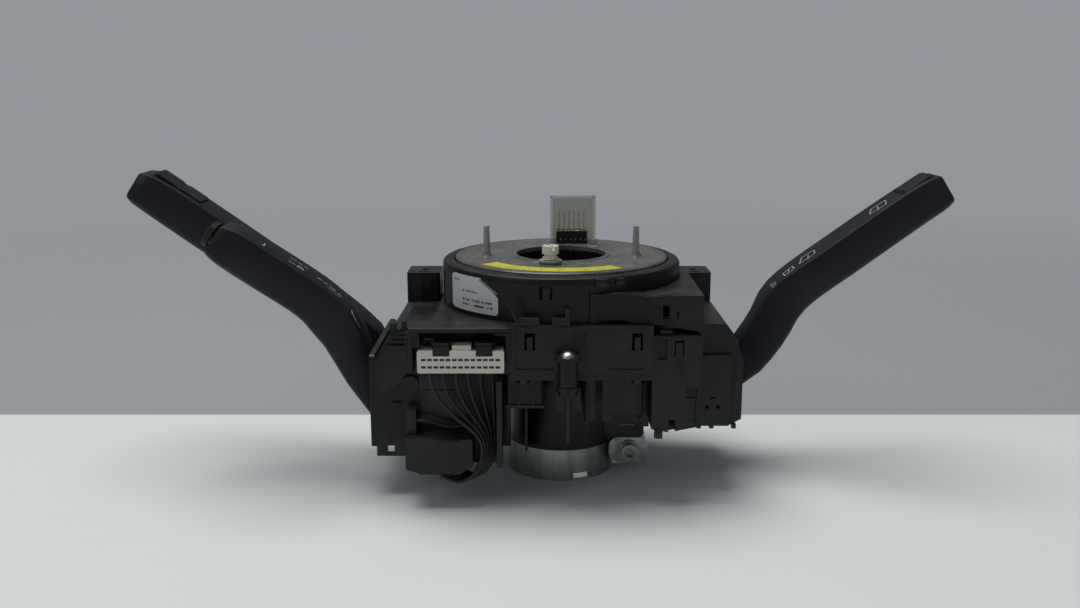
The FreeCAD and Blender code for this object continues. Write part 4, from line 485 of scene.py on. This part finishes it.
def select_only(*pieces):
    bpy.ops.object.select_all(action="DESELECT")
    for piece in pieces:
        piece.select_set(True)
    bpy.context.view_layer.objects.active = pieces[0]


def edit(piece, select="SELECT"):
    select_only(piece)
    bpy.ops.object.mode_set(mode="EDIT")
    bpy.ops.mesh.select_all(action=select)


def leave():
    bpy.ops.object.mode_set(mode="OBJECT")


def added(name):
    """Names the primitive that was just added and puts its place into its mesh."""
    piece = bpy.context.active_object
    piece.name = name
    bpy.ops.object.transform_apply(location=True, rotation=True, scale=True)
    return piece


def modify(piece, kind, **settings):
    select_only(piece)
    modifier = piece.modifiers.new(kind.lower(), kind)
    for key, value in settings.items():
        setattr(modifier, key, value)
    bpy.ops.object.modifier_apply(modifier=modifier.name)


def smooth(piece, angle):
    select_only(piece)
    bpy.ops.object.shade_smooth_by_angle(angle=math.radians(angle))


def dress(piece, body, slot, material, *nodes):
    """Gives a finished piece its material, the body that it rides on and the nodes it stands for."""
    piece.data.materials.clear()
    piece.data.materials.append(material)
    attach(piece, body)
    if nodes:
        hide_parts(*nodes)
    return piece


def block(name, low, high, edge):
    """A moulded block between two corners, with its edges broken."""
    low, high = Vector(low), Vector(high)
    middle, size = (low + high) / 2 * MM, (high - low) * MM
    bpy.ops.object.select_all(action="DESELECT")
    bpy.ops.mesh.primitive_cube_add(size=1, location=middle, scale=size)
    piece = added(name)
    if edge:
        edit(piece)
        bpy.ops.mesh.bevel(offset=edge * MM, segments=2, profile=0.5)
        leave()
    return piece


def join(name, pieces):
    select_only(*pieces)
    bpy.ops.object.join()
    pieces[0].name = name
    return pieces[0]


def merged(node):
    """A copy of a node whose loose triangles are merged into whole faces."""
    source = NODES[node]
    piece = bpy.data.objects.new(node + "_moulding", source.data.copy())
    bpy.context.scene.collection.objects.link(piece)
    edit(piece)
    bpy.ops.mesh.customdata_custom_splitnormals_clear()
    bpy.ops.mesh.remove_doubles(threshold=MERGE)
    bpy.ops.mesh.dissolve_limited(angle_limit=math.radians(FLAT_ANGLE))
    leave()
    return piece


def moulding(node, edge, material=None):
    """A merged copy of a node with its edges broken, in place of the node."""
    piece = merged(node)
    modify(piece, "BEVEL", width=edge * MM, segments=2, limit_method="ANGLE",
           angle_limit=math.radians(MOULD_ANGLE), use_clamp_overlap=True, harden_normals=True)
    smooth(piece, 40.0)
    modify(piece, "WEIGHTED_NORMAL", weight=80, keep_sharp=True)
    return dress(piece, BODY_OF[node], SLOT_OF[node], material or FINISHES[SLOT_OF[node]], node)


def cut(piece, *tools):
    """Takes the tools out of a piece and deletes them."""
    for tool in tools:
        modify(piece, "BOOLEAN", operation="DIFFERENCE", object=tool, solver="EXACT")
        bpy.data.objects.remove(tool)


def rod(name, radius, start, end):
    """A round bar between two points."""
    start, end = Vector(start) * MM, Vector(end) * MM
    way = end - start
    bpy.ops.object.select_all(action="DESELECT")
    bpy.ops.mesh.primitive_cone_add(
        vertices=ROD_SIDES, radius1=radius * MM, radius2=radius * MM,
        depth=way.length, location=(start + end) / 2, rotation=way.to_track_quat("Z", "Y").to_euler())
    return added(name)


def round_corners(piece, out, radius, segments):
    """Rounds the four edges of a box that run along one way, and stays in edit mode."""
    edit(piece, "DESELECT")
    mesh = bmesh.from_edit_mesh(piece.data)
    for edge in mesh.edges:
        edge.select = abs((edge.verts[0].co - edge.verts[1].co).normalized().dot(out)) > 0.9
    bmesh.update_edit_mesh(piece.data)
    bpy.ops.mesh.bevel(offset=radius * MM, segments=segments)


# The stage

def camera():
    data = bpy.data.cameras.new("camera")
    data.lens = LENS
    data.sensor_width = SENSOR
    data.clip_start = 0.01
    eye = bpy.data.objects.new("camera", data)
    eye.location = Vector(CAMERA_AT) * MM
    eye.rotation_euler = (math.radians(90.0 - CAMERA_PITCH), 0, 0)
    bpy.context.scene.collection.objects.link(eye)
    bpy.context.scene.camera = eye


def floor():
    bpy.ops.object.select_all(action="DESELECT")
    bpy.ops.mesh.primitive_plane_add(size=2 * FLOOR_HALF * MM)
    piece = added("floor")
    piece.data.materials.append(floor_finish())


def area_light(name, place, target, size, power, colour):
    data = bpy.data.lights.new(name, "AREA")
    data.shape = "DISK"
    data.size = size
    data.energy = power
    data.color = colour
    lamp = bpy.data.objects.new(name, data)
    lamp.location = place
    lamp.rotation_euler = (Vector(target) - Vector(place)).to_track_quat("-Z", "Y").to_euler()
    bpy.context.scene.collection.objects.link(lamp)


def lights():
    for lamp in LAMPS:
        area_light(*lamp)
    world = bpy.data.worlds.new("room")
    bpy.context.scene.world = world
    world.use_nodes = True
    tree = world.node_tree
    tree.nodes.clear()
    path = tree.nodes.new("ShaderNodeLightPath")
    seen = tree.nodes.new("ShaderNodeMath")
    seen.operation = "MAXIMUM"
    tree.links.new(path.outputs["Is Camera Ray"], seen.inputs[0])
    tree.links.new(path.outputs["Is Transmission Ray"], seen.inputs[1])
    ambient = tree.nodes.new("ShaderNodeBackground")
    ambient.inputs["Color"].default_value = AMBIENT_COLOUR
    ambient.inputs["Strength"].default_value = AMBIENT_STRENGTH
    wall = tree.nodes.new("ShaderNodeBackground")
    wall.inputs["Color"].default_value = WALL_COLOUR
    wall.inputs["Strength"].default_value = 1.0
    either = tree.nodes.new("ShaderNodeMixShader")
    out = tree.nodes.new("ShaderNodeOutputWorld")
    tree.links.new(seen.outputs[0], either.inputs[0])
    tree.links.new(ambient.outputs[0], either.inputs[1])
    tree.links.new(wall.outputs[0], either.inputs[2])
    tree.links.new(either.outputs[0], out.inputs["Surface"])
    bpy.context.scene.view_settings.view_transform = "Standard"


# Wires

def cord(name, points, radius, node):
    """A thin wire along one smooth curve whose control points are its route."""
    data = bpy.data.curves.new(name, "CURVE")
    data.dimensions = "3D"
    data.bevel_depth = radius * MM
    data.bevel_resolution = 3
    data.resolution_u = 10
    data.use_fill_caps = True
    spline = data.splines.new("NURBS")
    spline.points.add(len(points) - 1)
    for point, place in zip(spline.points, points):
        point.co = (*(Vector(place) * MM), 1.0)
    spline.order_u = 3
    spline.use_endpoint_u = True
    piece = bpy.data.objects.new(name, data)
    bpy.context.scene.collection.objects.link(piece)
    data.materials.append(FINISHES["wire_black"])
    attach(piece, "root")
    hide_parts(node)
    return piece


def way_x(index):
    return PLUG_LEFT + PLUG_W / 2 + (index - (WAYS - 1) / 2) * WAY_PITCH


def wires():
    """Six loops from the plug down and back up into the harness box, and one wire across it."""
    for index in range(LOOP_WIRES):
        y = PLUG_FRONT + WIRE_R + 0.2 + WIRE_SPACING * index
        low_y = y + WIRE_SHIFT
        x = way_x(1 + 2 * index)
        down = -36.6 + 1.1 * index
        end = -60.0 + 2.0 * index
        span = down - end
        points = [
            (x, y, PLUG_Z), (x, y, 57.5), (x + (down - x) * 0.42, y + 0.3 * WIRE_SHIFT, 45.0),
            (down - 0.5, y + 0.8 * WIRE_SHIFT, 34.0), (down, low_y, 23.0),
            (down - 0.26 * span, low_y, BOX_BOTTOM - 4.2), (down - 0.68 * span, low_y, BOX_BOTTOM - 4.8),
            (end, low_y, BOX_BOTTOM + 2.5),
        ]
        number = index + 1
        cord("plug_wire_%d" % number, points, WIRE_R, "loop_wire_%d" % number)
    y = BACK_Y - 6.5
    points = [(-67.0, y, 40.4), (-61.0, y, 40.4), (-54.0, y, 37.2), (-45.6, y, 37.6),
              (-41.6, y + 2.4, 39.4), (-41.6, BACK_Y, 39.4)]
    cord("box_wire", points, WIRE_R, "cross_wire")


# Stalks

def along_stalk(stations, reach):
    """The station at a reach, on a smooth curve past the first two stations."""
    last = len(stations) - 2
    index = min(max(k for k in range(last + 1) if stations[k][0] <= reach), last)
    near, far = stations[index], stations[index + 1]
    share = (reach - near[0]) / (far[0] - near[0])
    if index == 0:
        return [a + share * (b - a) for a, b in zip(near, far)]
    before = stations[index - 1]
    after = stations[min(index + 2, last + 1)]
    made = [reach]
    for k in range(1, 5):
        span = far[0] - near[0]
        slope_in = (far[k] - before[k]) / (far[0] - before[0]) * span
        slope_out = (after[k] - near[k]) / (after[0] - near[0]) * span
        s2, s3 = share * share, share ** 3
        made.append((2 * s3 - 3 * s2 + 1) * near[k] + (s3 - 2 * s2 + share) * slope_in
                    + (3 * s2 - 2 * s3) * far[k] + (s3 - s2) * slope_out)
    return made


def stalk_sections(stations):
    """The root block first, then sections at even steps out to the tip."""
    pivot_z = stations[0][1]
    low, high = PIVOT_REACH - BOSS_HALF[0], PIVOT_REACH + BOSS_HALF[0] + 2.0
    sections = [(reach, pivot_z, 0.0, BOSS_HALF[2], BOSS_HALF[1]) for reach in (low, high)]
    sections.append(stations[0])
    first, last = stations[1][0], stations[-1][0]
    steps = round((last - first) / STALK_STEP)
    sections += [along_stalk(stations, first + (last - first) * k / steps) for k in range(steps + 1)]
    return sections


def axis_point(side, y, drift, root_reach, section):
    return Vector((side * section[0], y + drift * max(section[0] - root_reach, 0.0), section[1])) * MM


def stalk_body(name, side, y, stations, drift, lean):
    """Sections drawn out one after another, a lean of the neck's face, and broken edges."""
    sections = stalk_sections(stations)
    root_reach = stations[0][0]
    reach, z, _, half_t, half_w = sections[0]
    bpy.ops.object.select_all(action="DESELECT")
    bpy.ops.mesh.primitive_plane_add(size=2, rotation=(0, math.radians(90), 0))
    piece = bpy.context.active_object
    piece.scale = (half_t * MM, half_w * MM, 1)
    piece.location = axis_point(side, y, drift, root_reach, sections[0])
    added(name)
    edit(piece)
    for old, new in zip(sections, sections[1:]):
        bpy.ops.mesh.extrude_region_move()
        start = axis_point(side, y, drift, root_reach, old)
        turn_section(start, side * old[2])
        bpy.ops.transform.resize(value=(1, new[4] / old[4], new[3] / old[3]), center_override=start)
        turn_section(start, -side * new[2])
        bpy.ops.transform.translate(value=axis_point(side, y, drift, root_reach, new) - start)
    bpy.ops.mesh.select_all(action="SELECT")
    bpy.ops.mesh.normals_make_consistent(inside=False)
    place = lambda point: nearest_section(side, y, drift, root_reach, sections, point)
    lean_neck(piece, place, lean)
    break_edges(piece, place, sections, side)
    leave()
    smooth(piece, 38.0)
    return piece


def nearest_section(side, y, drift, root_reach, sections, point):
    """The section that a point lies on, and the point's place up and across it in millimetres."""
    def gap(section):
        way = math.radians(section[2])
        offset = point - axis_point(side, y, drift, root_reach, section)
        return abs(offset.x * side * math.cos(way) + offset.z * math.sin(way))
    section = min(sections, key=gap)
    way = math.radians(section[2])
    offset = (point - axis_point(side, y, drift, root_reach, section)) / MM
    return section, -offset.x * side * math.sin(way) + offset.z * math.cos(way), offset.y


def lean_neck(piece, place, lean):
    """Lays the top of the neck's front face back, so that it catches the light as a scoop."""
    full, none, depth = lean
    mesh = bmesh.from_edit_mesh(piece.data)
    for face_vert in list(mesh.verts):
        section, up, across = place(face_vert.co)
        share = min(max((none - section[0]) / (none - full), 0.0), 1.0)
        if section[0] > PIVOT_REACH + NECK_START and up > 0 and across < 0 and share:
            bpy.ops.mesh.select_all(action="DESELECT")
            face_vert.select = True
            bmesh.update_edit_mesh(piece.data)
            bpy.ops.transform.translate(value=(0, depth * share * MM, 0))
            mesh = bmesh.from_edit_mesh(piece.data)


def break_edges(piece, place, sections, side):
    """A crisp ridge along the front of the upper face and softer corners elsewhere."""
    last = len(sections) - 1
    for ridge in (True, False):
        bpy.ops.mesh.select_all(action="DESELECT")
        mesh = bmesh.from_edit_mesh(piece.data)
        for edge in mesh.edges:
            ends = [place(vert.co) for vert in edge.verts]
            lengthwise = ends[0][0] is not ends[1][0]
            front_top = all(up > 0 and across < 0 for _, up, across in ends)
            edge.select = lengthwise and len(edge.link_faces) == 2 and front_top == ridge and \
                edge.calc_face_angle(0.0) > math.radians(SHARP_EDGE)
        bmesh.update_edit_mesh(piece.data)
        bpy.ops.mesh.bevel(offset=(RIDGE_EDGE if ridge else SOFT_EDGE) * MM, segments=2 if ridge else 4,
                           profile=0.5, clamp_overlap=True)
    bpy.ops.mesh.select_all(action="DESELECT")
    mesh = bmesh.from_edit_mesh(piece.data)
    tip = sections[last]
    for face in mesh.faces:
        face.select = len(face.verts) > 6 and all(place(vert.co)[0] is tip for vert in face.verts)
    bmesh.update_edit_mesh(piece.data)
    bpy.ops.mesh.region_to_loop()
    bpy.ops.mesh.bevel(offset=TIP_EDGE * MM, segments=3, profile=0.5, clamp_overlap=True)


def turn_section(centre, degrees):
    """With no window the operator turns the other way, so the angle is given as wanted here."""
    bpy.ops.transform.rotate(value=-math.radians(degrees), orient_axis="Y", center_override=centre)


def linear_station(stations, reach):
    """The station at a reach on the straight runs that the solid stalks have."""
    for near, far in zip(stations, stations[1:]):
        if near[0] <= reach <= far[0]:
            share = (reach - near[0]) / (far[0] - near[0])
            return [a + share * (b - a) for a, b in zip(near, far)]
    return list(stations[-1])


def face_frame(side, y, stations, reach, drift):
    """Where a reach meets a stalk's upper face, the face's outward way and its turn about Y."""
    reach, z, slope, half_t, _ = linear_station(stations, reach)
    way = math.radians(slope)
    out = Vector((-side * math.sin(way), 0, math.cos(way)))
    return Vector((side * reach, y + drift * (reach - stations[0][0]), z)) + out * half_t, out, -side * way


def face_pocket(side, y, stations, drift, size):
    """A tool for the well that a button sits in."""
    reach, half_l, half_w, depth = size
    centre, out, turn = face_frame(side, y, stations, reach, drift)
    bpy.ops.object.select_all(action="DESELECT")
    bpy.ops.mesh.primitive_cube_add(
        size=1, location=(centre + out * (WELL_ABOVE - depth / 2)) * MM, rotation=(0, turn, 0),
        scale=(2 * half_l * MM, 2 * half_w * MM, (2 * WELL_ABOVE + depth) * MM))
    piece = added("pocket")
    round_corners(piece, out, WELL_CORNER, 4)
    leave()
    return piece


def cruise_tip():
    """The end of the cruise stalk, the way it points and that way's slope."""
    reach, z, slope = CRUISE_STATIONS[-1][:3]
    way = math.radians(slope)
    out = Vector((-math.cos(way), 0, math.sin(way)))
    return Vector((-reach, CRUISE_Y - SPLAY * (reach - CRUISE_STATIONS[0][0]), z)), out, way


def stalks():
    for name, side, y, stations, drift, lean, well in STALKS:
        piece = stalk_body(name + "_handle", side, y, stations, drift, lean)
        z = stations[0][1]
        x = side * PIVOT_REACH
        deep, shallow = (side * (PIVOT_REACH - inward) for inward in PLUNGER_WELL)
        tools = [rod("pin_bore", PIN_BORE_R, (x, y - PIN_HALF, z), (x, y + PIN_HALF, z)),
                 rod("plunger_well", PLUNGER_R, (deep, y, z), (shallow, y, z))]
        if well:
            tools.append(face_pocket(side, y, stations, drift, well))
        else:
            tip, out, _ = cruise_tip()
            radius, depth = CRUISE_BORE
            tools.append(rod("button_bore", radius, tip - out * depth, tip + out * 5))
        cut(piece, *tools)
        dress(piece, name, "stalk_blue_black", FINISHES["stalk_blue_black"], name)


# Finer pieces

def ring_label():
    """A paper label with one turned corner, wrapped on the wall of the contact ring."""
    low, high = (LABEL_LEFT, LABEL_BOTTOM), (LABEL_RIGHT, LABEL_TOP)
    middle_x, middle_z = (low[0] + high[0]) / 2, (low[1] + high[1]) / 2
    bpy.ops.object.select_all(action="DESELECT")
    bpy.ops.mesh.primitive_plane_add(
        size=1, rotation=(math.radians(90), 0, 0),
        location=(middle_x * MM, LABEL_Y * MM, middle_z * MM))
    bpy.context.object.scale = ((high[0] - low[0]) * MM, (high[1] - low[1]) * MM, 1)
    piece = added("ring_label")
    edit(piece)
    bpy.ops.mesh.bevel(offset=LABEL_CORNER * MM, segments=4, affect="VERTICES")
    bpy.ops.mesh.select_all(action="SELECT")
    bpy.ops.mesh.bisect(plane_co=(FOLD_X * MM, 0, high[1] * MM),
                        plane_no=(FOLD_DROP, 0, high[0] - FOLD_X), clear_outer=True)
    x = low[0] + LABEL_SLICE
    while x < high[0]:
        bpy.ops.mesh.select_all(action="SELECT")
        bpy.ops.mesh.bisect(plane_co=(x * MM, 0, 0), plane_no=(1, 0, 0))
        x += LABEL_SLICE
    leave()
    wrap_on_ring(piece, LABEL_PROUD, PAPER_T)
    dress(piece, "root", "housing_black", LABEL_PAPER)
    crease = block("label_crease", (-CREASE_HALF_L, LABEL_Y - 0.1, -CREASE_HALF_W),
                   (CREASE_HALF_L, LABEL_Y + 0.1, CREASE_HALF_W), 0.0)
    edit(crease)
    bpy.ops.mesh.subdivide(number_cuts=7)
    fall = math.atan2(FOLD_DROP, high[0] - FOLD_X)
    bpy.ops.transform.rotate(value=-fall, orient_axis="Y", center_override=(0, LABEL_Y * MM, 0))
    bpy.ops.transform.translate(value=(((FOLD_X + high[0]) / 2 - CREASE_SHIFT[0]) * MM, 0,
                                       (high[1] - FOLD_DROP / 2 - CREASE_SHIFT[1]) * MM))
    leave()
    wrap_on_ring(crease, CREASE_PROUD)
    dress(crease, "root", "housing_black", FOLDED_PAPER)


def wrap_on_ring(piece, proud, thickness=0.0):
    """Projects a piece straight back on a round wall just outside the ring, and thickens a flat one."""
    bpy.ops.object.select_all(action="DESELECT")
    bpy.ops.mesh.primitive_cylinder_add(vertices=256, radius=(RING_R + proud) * MM, depth=0.05,
                                        location=(0, 0, 0.096))
    wall = added("wrap_wall")
    edit(piece)
    bpy.ops.mesh.remove_doubles(threshold=1e-6)
    leave()
    modify(piece, "SHRINKWRAP", target=wall, wrap_method="PROJECT", use_project_y=True,
           use_positive_direction=True, use_negative_direction=False)
    bpy.data.objects.remove(wall)
    if thickness:
        modify(piece, "SOLIDIFY", thickness=thickness * MM, offset=-1.0)
    smooth(piece, 30.0)


def disc_strip():
    """The yellow film that lies along the front of the disc."""
    bpy.ops.object.select_all(action="DESELECT")
    start = math.radians(STRIP_FROM - 90.0)
    reach = (STRIP_IN + STRIP_OUT) / 2 * MM
    bpy.ops.mesh.primitive_plane_add(
        size=1, rotation=(math.radians(90), 0, start),
        location=(reach * math.cos(start), reach * math.sin(start), (DISC_TOP + STRIP_LIFT) * MM))
    bpy.context.object.scale = ((STRIP_OUT - STRIP_IN) * MM, STRIP_T * MM, 1)
    piece = added("disc_strip")
    edit(piece)
    bpy.ops.mesh.spin(steps=STRIP_STEPS, angle=-math.radians(STRIP_TO - STRIP_FROM),
                      center=(0, 0, 0), axis=(0, 0, 1))
    bpy.ops.mesh.select_all(action="SELECT")
    bpy.ops.mesh.remove_doubles(threshold=1e-6)
    bpy.ops.mesh.normals_make_consistent(inside=False)
    leave()
    smooth(piece, 30.0)
    dress(piece, "rotor", "disc_translucent", STRIP_FILM)


def fixed_trim():
    """Ribs, lips, clips and webs of the housings, each a small moulded block."""
    for number, (low, high, edge) in enumerate(TRIM):
        piece = block("trim_%02d" % (number + 1), low, high, edge)
        smooth(piece, 40.0)
        dress(piece, "root", "housing_black", FINISHES["housing_black"])


def plug_cell_shades():
    """Dark blocks in the two rows of openings in the plug's face: painted shade in their depth."""
    # Dark blocks flush with the face: painted shade that darkens each opening.
    cells = []
    half_x, half_z = CELL_HALF
    for row in range(2):
        z = PLUG_Z + CELL_FIRST_Z + row * CELL_ROW
        for k in range(WAYS):
            x = way_x(k)
            cells.append(block("cell", (x - half_x, PLUG_FRONT + CELL_Y[0], z - half_z),
                               (x + half_x, PLUG_FRONT + CELL_Y[1], z + half_z), 0.0))
    piece = join("plug_cell_shades", cells)
    dress(piece, "root", "button_black", FINISHES["button_black"])


def insert_contacts():
    """Six pale contact ends in the black insert of the tower."""
    ends = []
    for k in range(CONTACTS):
        x = CONTACT_X + (k - (CONTACTS - 1) / 2) * CONTACT_PITCH
        ends.append(block("end", (x - CONTACT_HALF, CONTACT_Y[0], CONTACT_Z[0]),
                          (x + CONTACT_HALF, CONTACT_Y[1], CONTACT_Z[1]), CONTACT_EDGE))
    piece = join("insert_contacts", ends)
    dress(piece, "rotor", "contact_metal", FINISHES["contact_metal"])


def cruise_cap():
    """The end button of the cruise stalk: a barrel and a broad head with a finger hollow."""
    tip, out, way = cruise_tip()
    barrel = rod("barrel", CAP_BARREL_R, tip - out * CAP_BARREL[0], tip + out * CAP_BARREL[1])
    bpy.ops.object.select_all(action="DESELECT")
    bpy.ops.mesh.primitive_cube_add(size=1, location=(tip + out * CAP_OUT) * MM, rotation=(0, way, 0),
                                    scale=[length * MM for length in CAP_SIZE])
    head = added("head")
    round_corners(head, out, CAP_CORNER, 6)
    bpy.ops.mesh.select_all(action="DESELECT")
    mesh = bmesh.from_edit_mesh(head.data)
    front = max(mesh.faces, key=lambda face: face.calc_center_median().dot(out))
    front.select = True
    bmesh.update_edit_mesh(head.data)
    for width, rise in CAP_INSETS:
        bpy.ops.mesh.inset(thickness=width * MM, depth=rise * MM)
    leave()
    piece = join("cruise_cap", [head, barrel])
    smooth(piece, 50.0)
    dress(piece, "cruise_button", "button_black", FINISHES["button_black"], "cruise_button")


def stalk_marks(name, side, y, stations, drift, strokes):
    """Thin pale strokes on a stalk's upper face, each from one place along and across it to another."""
    made = []
    for reach, across, far_reach, far_across, width in strokes:
        ends = []
        for place, shift in ((reach, across), (far_reach, far_across)):
            at, z, slope, half_t, _ = along_stalk(stations, place)
            way = math.radians(slope)
            out = Vector((-side * math.sin(way), 0, math.cos(way)))
            ends.append(Vector((side * at, y + drift * (at - stations[0][0]) + shift, z)) + out * half_t)
        run = (ends[1] - ends[0]).normalized()
        frame_axes = Matrix((run, out.cross(run).normalized(), out)).transposed()
        bpy.ops.object.select_all(action="DESELECT")
        bpy.ops.mesh.primitive_cube_add(size=1, location=(ends[0] + ends[1]) / 2 * MM,
                                        rotation=frame_axes.to_euler(),
                                        scale=((ends[1] - ends[0]).length * MM, width * MM, 0.12 * MM))
        made.append(added("stroke"))
    piece = join(name + "_marks", made)
    dress(piece, name, "stalk_blue_black", MARK_PAINT)


def marks():
    stalk_marks("wiper_stalk", 1, WIPER_Y, WIPER_STATIONS, SPLAY, WIPER_MARKS)
    stalk_marks("cruise_stalk", -1, CRUISE_Y, CRUISE_STATIONS, -SPLAY, CRUISE_MARKS)


# Main

FINISHES = {
    "housing_black": moulded_black("housing_black"),
    "stalk_blue_black": satin_stalk("stalk_blue_black"),
    "button_black": soft_black("button_black"),
    "clamp_aluminium": cast_aluminium("clamp_aluminium"),
    "screw_steel": plated_steel("screw_steel"),
    "plug_ivory": dull_plastic("plug_ivory", (0.64, 0.62, 0.53)),
    "disc_translucent": disc_plastic("disc_translucent"),
    "peg_translucent": clear_plastic("peg_translucent", (0.70, 0.70, 0.63), 0.90, 0.08, 0.3),
    "lock_white": dull_plastic("lock_white", (0.74, 0.73, 0.69), 0.35),
    "contact_metal": plated_steel("contact_metal", 0.7),
    "board_green": dull_plastic("board_green", (0.05, 0.17, 0.08), 0.3),
    "chip_black": soft_black("chip_black"),
    "gear_plastic": dull_plastic("gear_plastic", (0.62, 0.60, 0.52)),
    "magnet_grey": plated_steel("magnet_grey", 0.2),
    "wire_black": soft_black("wire_black"),
    "ribbon_amber": dull_plastic("ribbon_amber", (0.55, 0.30, 0.07), 0.25),
}
LABEL_PAPER = printed_paper("label_paper", (0.60, 0.61, 0.61), LABEL_ROWS)
FOLDED_PAPER = printed_paper("folded_paper", (0.22, 0.23, 0.24), [])
STRIP_FILM = strip_film("strip_film")
MARK_PAINT = dull_plastic("mark_paint", (0.42, 0.43, 0.43), 0.5)
DARK_STEEL = plated_steel("dark_steel", 0.05)
BRIGHT_STEEL = plated_steel("bright_steel", 0.62)
SPECIAL = {
    "front_screw": BRIGHT_STEEL, "turn_rocker": FINISHES["stalk_blue_black"],
    "wiper_button": FINISHES["stalk_blue_black"],
}
EDGES = {
    "clamp_ring": 0.5, "clamp_screw": 0.25, "base_housing": 0.3, "sensor_housing": 0.3,
    "ring_housing": 0.3, "ring_rim": 0.25, "connector_hood": 0.4, "main_plug": 0.15,
    "plug_latches": 0.25, "left_switch_housing": 0.4, "left_flange": 0.4, "harness_box": 0.35,
    "right_switch_housing": 0.4, "right_flange": 0.4, "right_front_box": 0.35,
    "upper_right_cover": 0.5, "vehicle_socket": 0.3, "front_screw": 0.1, "rotor_hub": 0.2,
    "rotor_disc": 0.2, "lock_screw": 0.2, "plug_tower": 0.3, "plug_insert": 0.2,
    "turn_rocker": 0.55, "wiper_button": 0.5,
}

camera()
floor()
lights()
wires()
for node, piece in NODES.items():
    piece.data.materials.clear()
    piece.data.materials.append(FINISHES[SLOT_OF[node]])
for node in ("housing_screws", "ring_screws"):
    NODES[node].data.materials[0] = DARK_STEEL
for node, edge in EDGES.items():
    moulding(node, edge, SPECIAL.get(node))
stalks()
cruise_cap()
marks()
ring_label()
disc_strip()
fixed_trim()
plug_cell_shades()
insert_contacts()
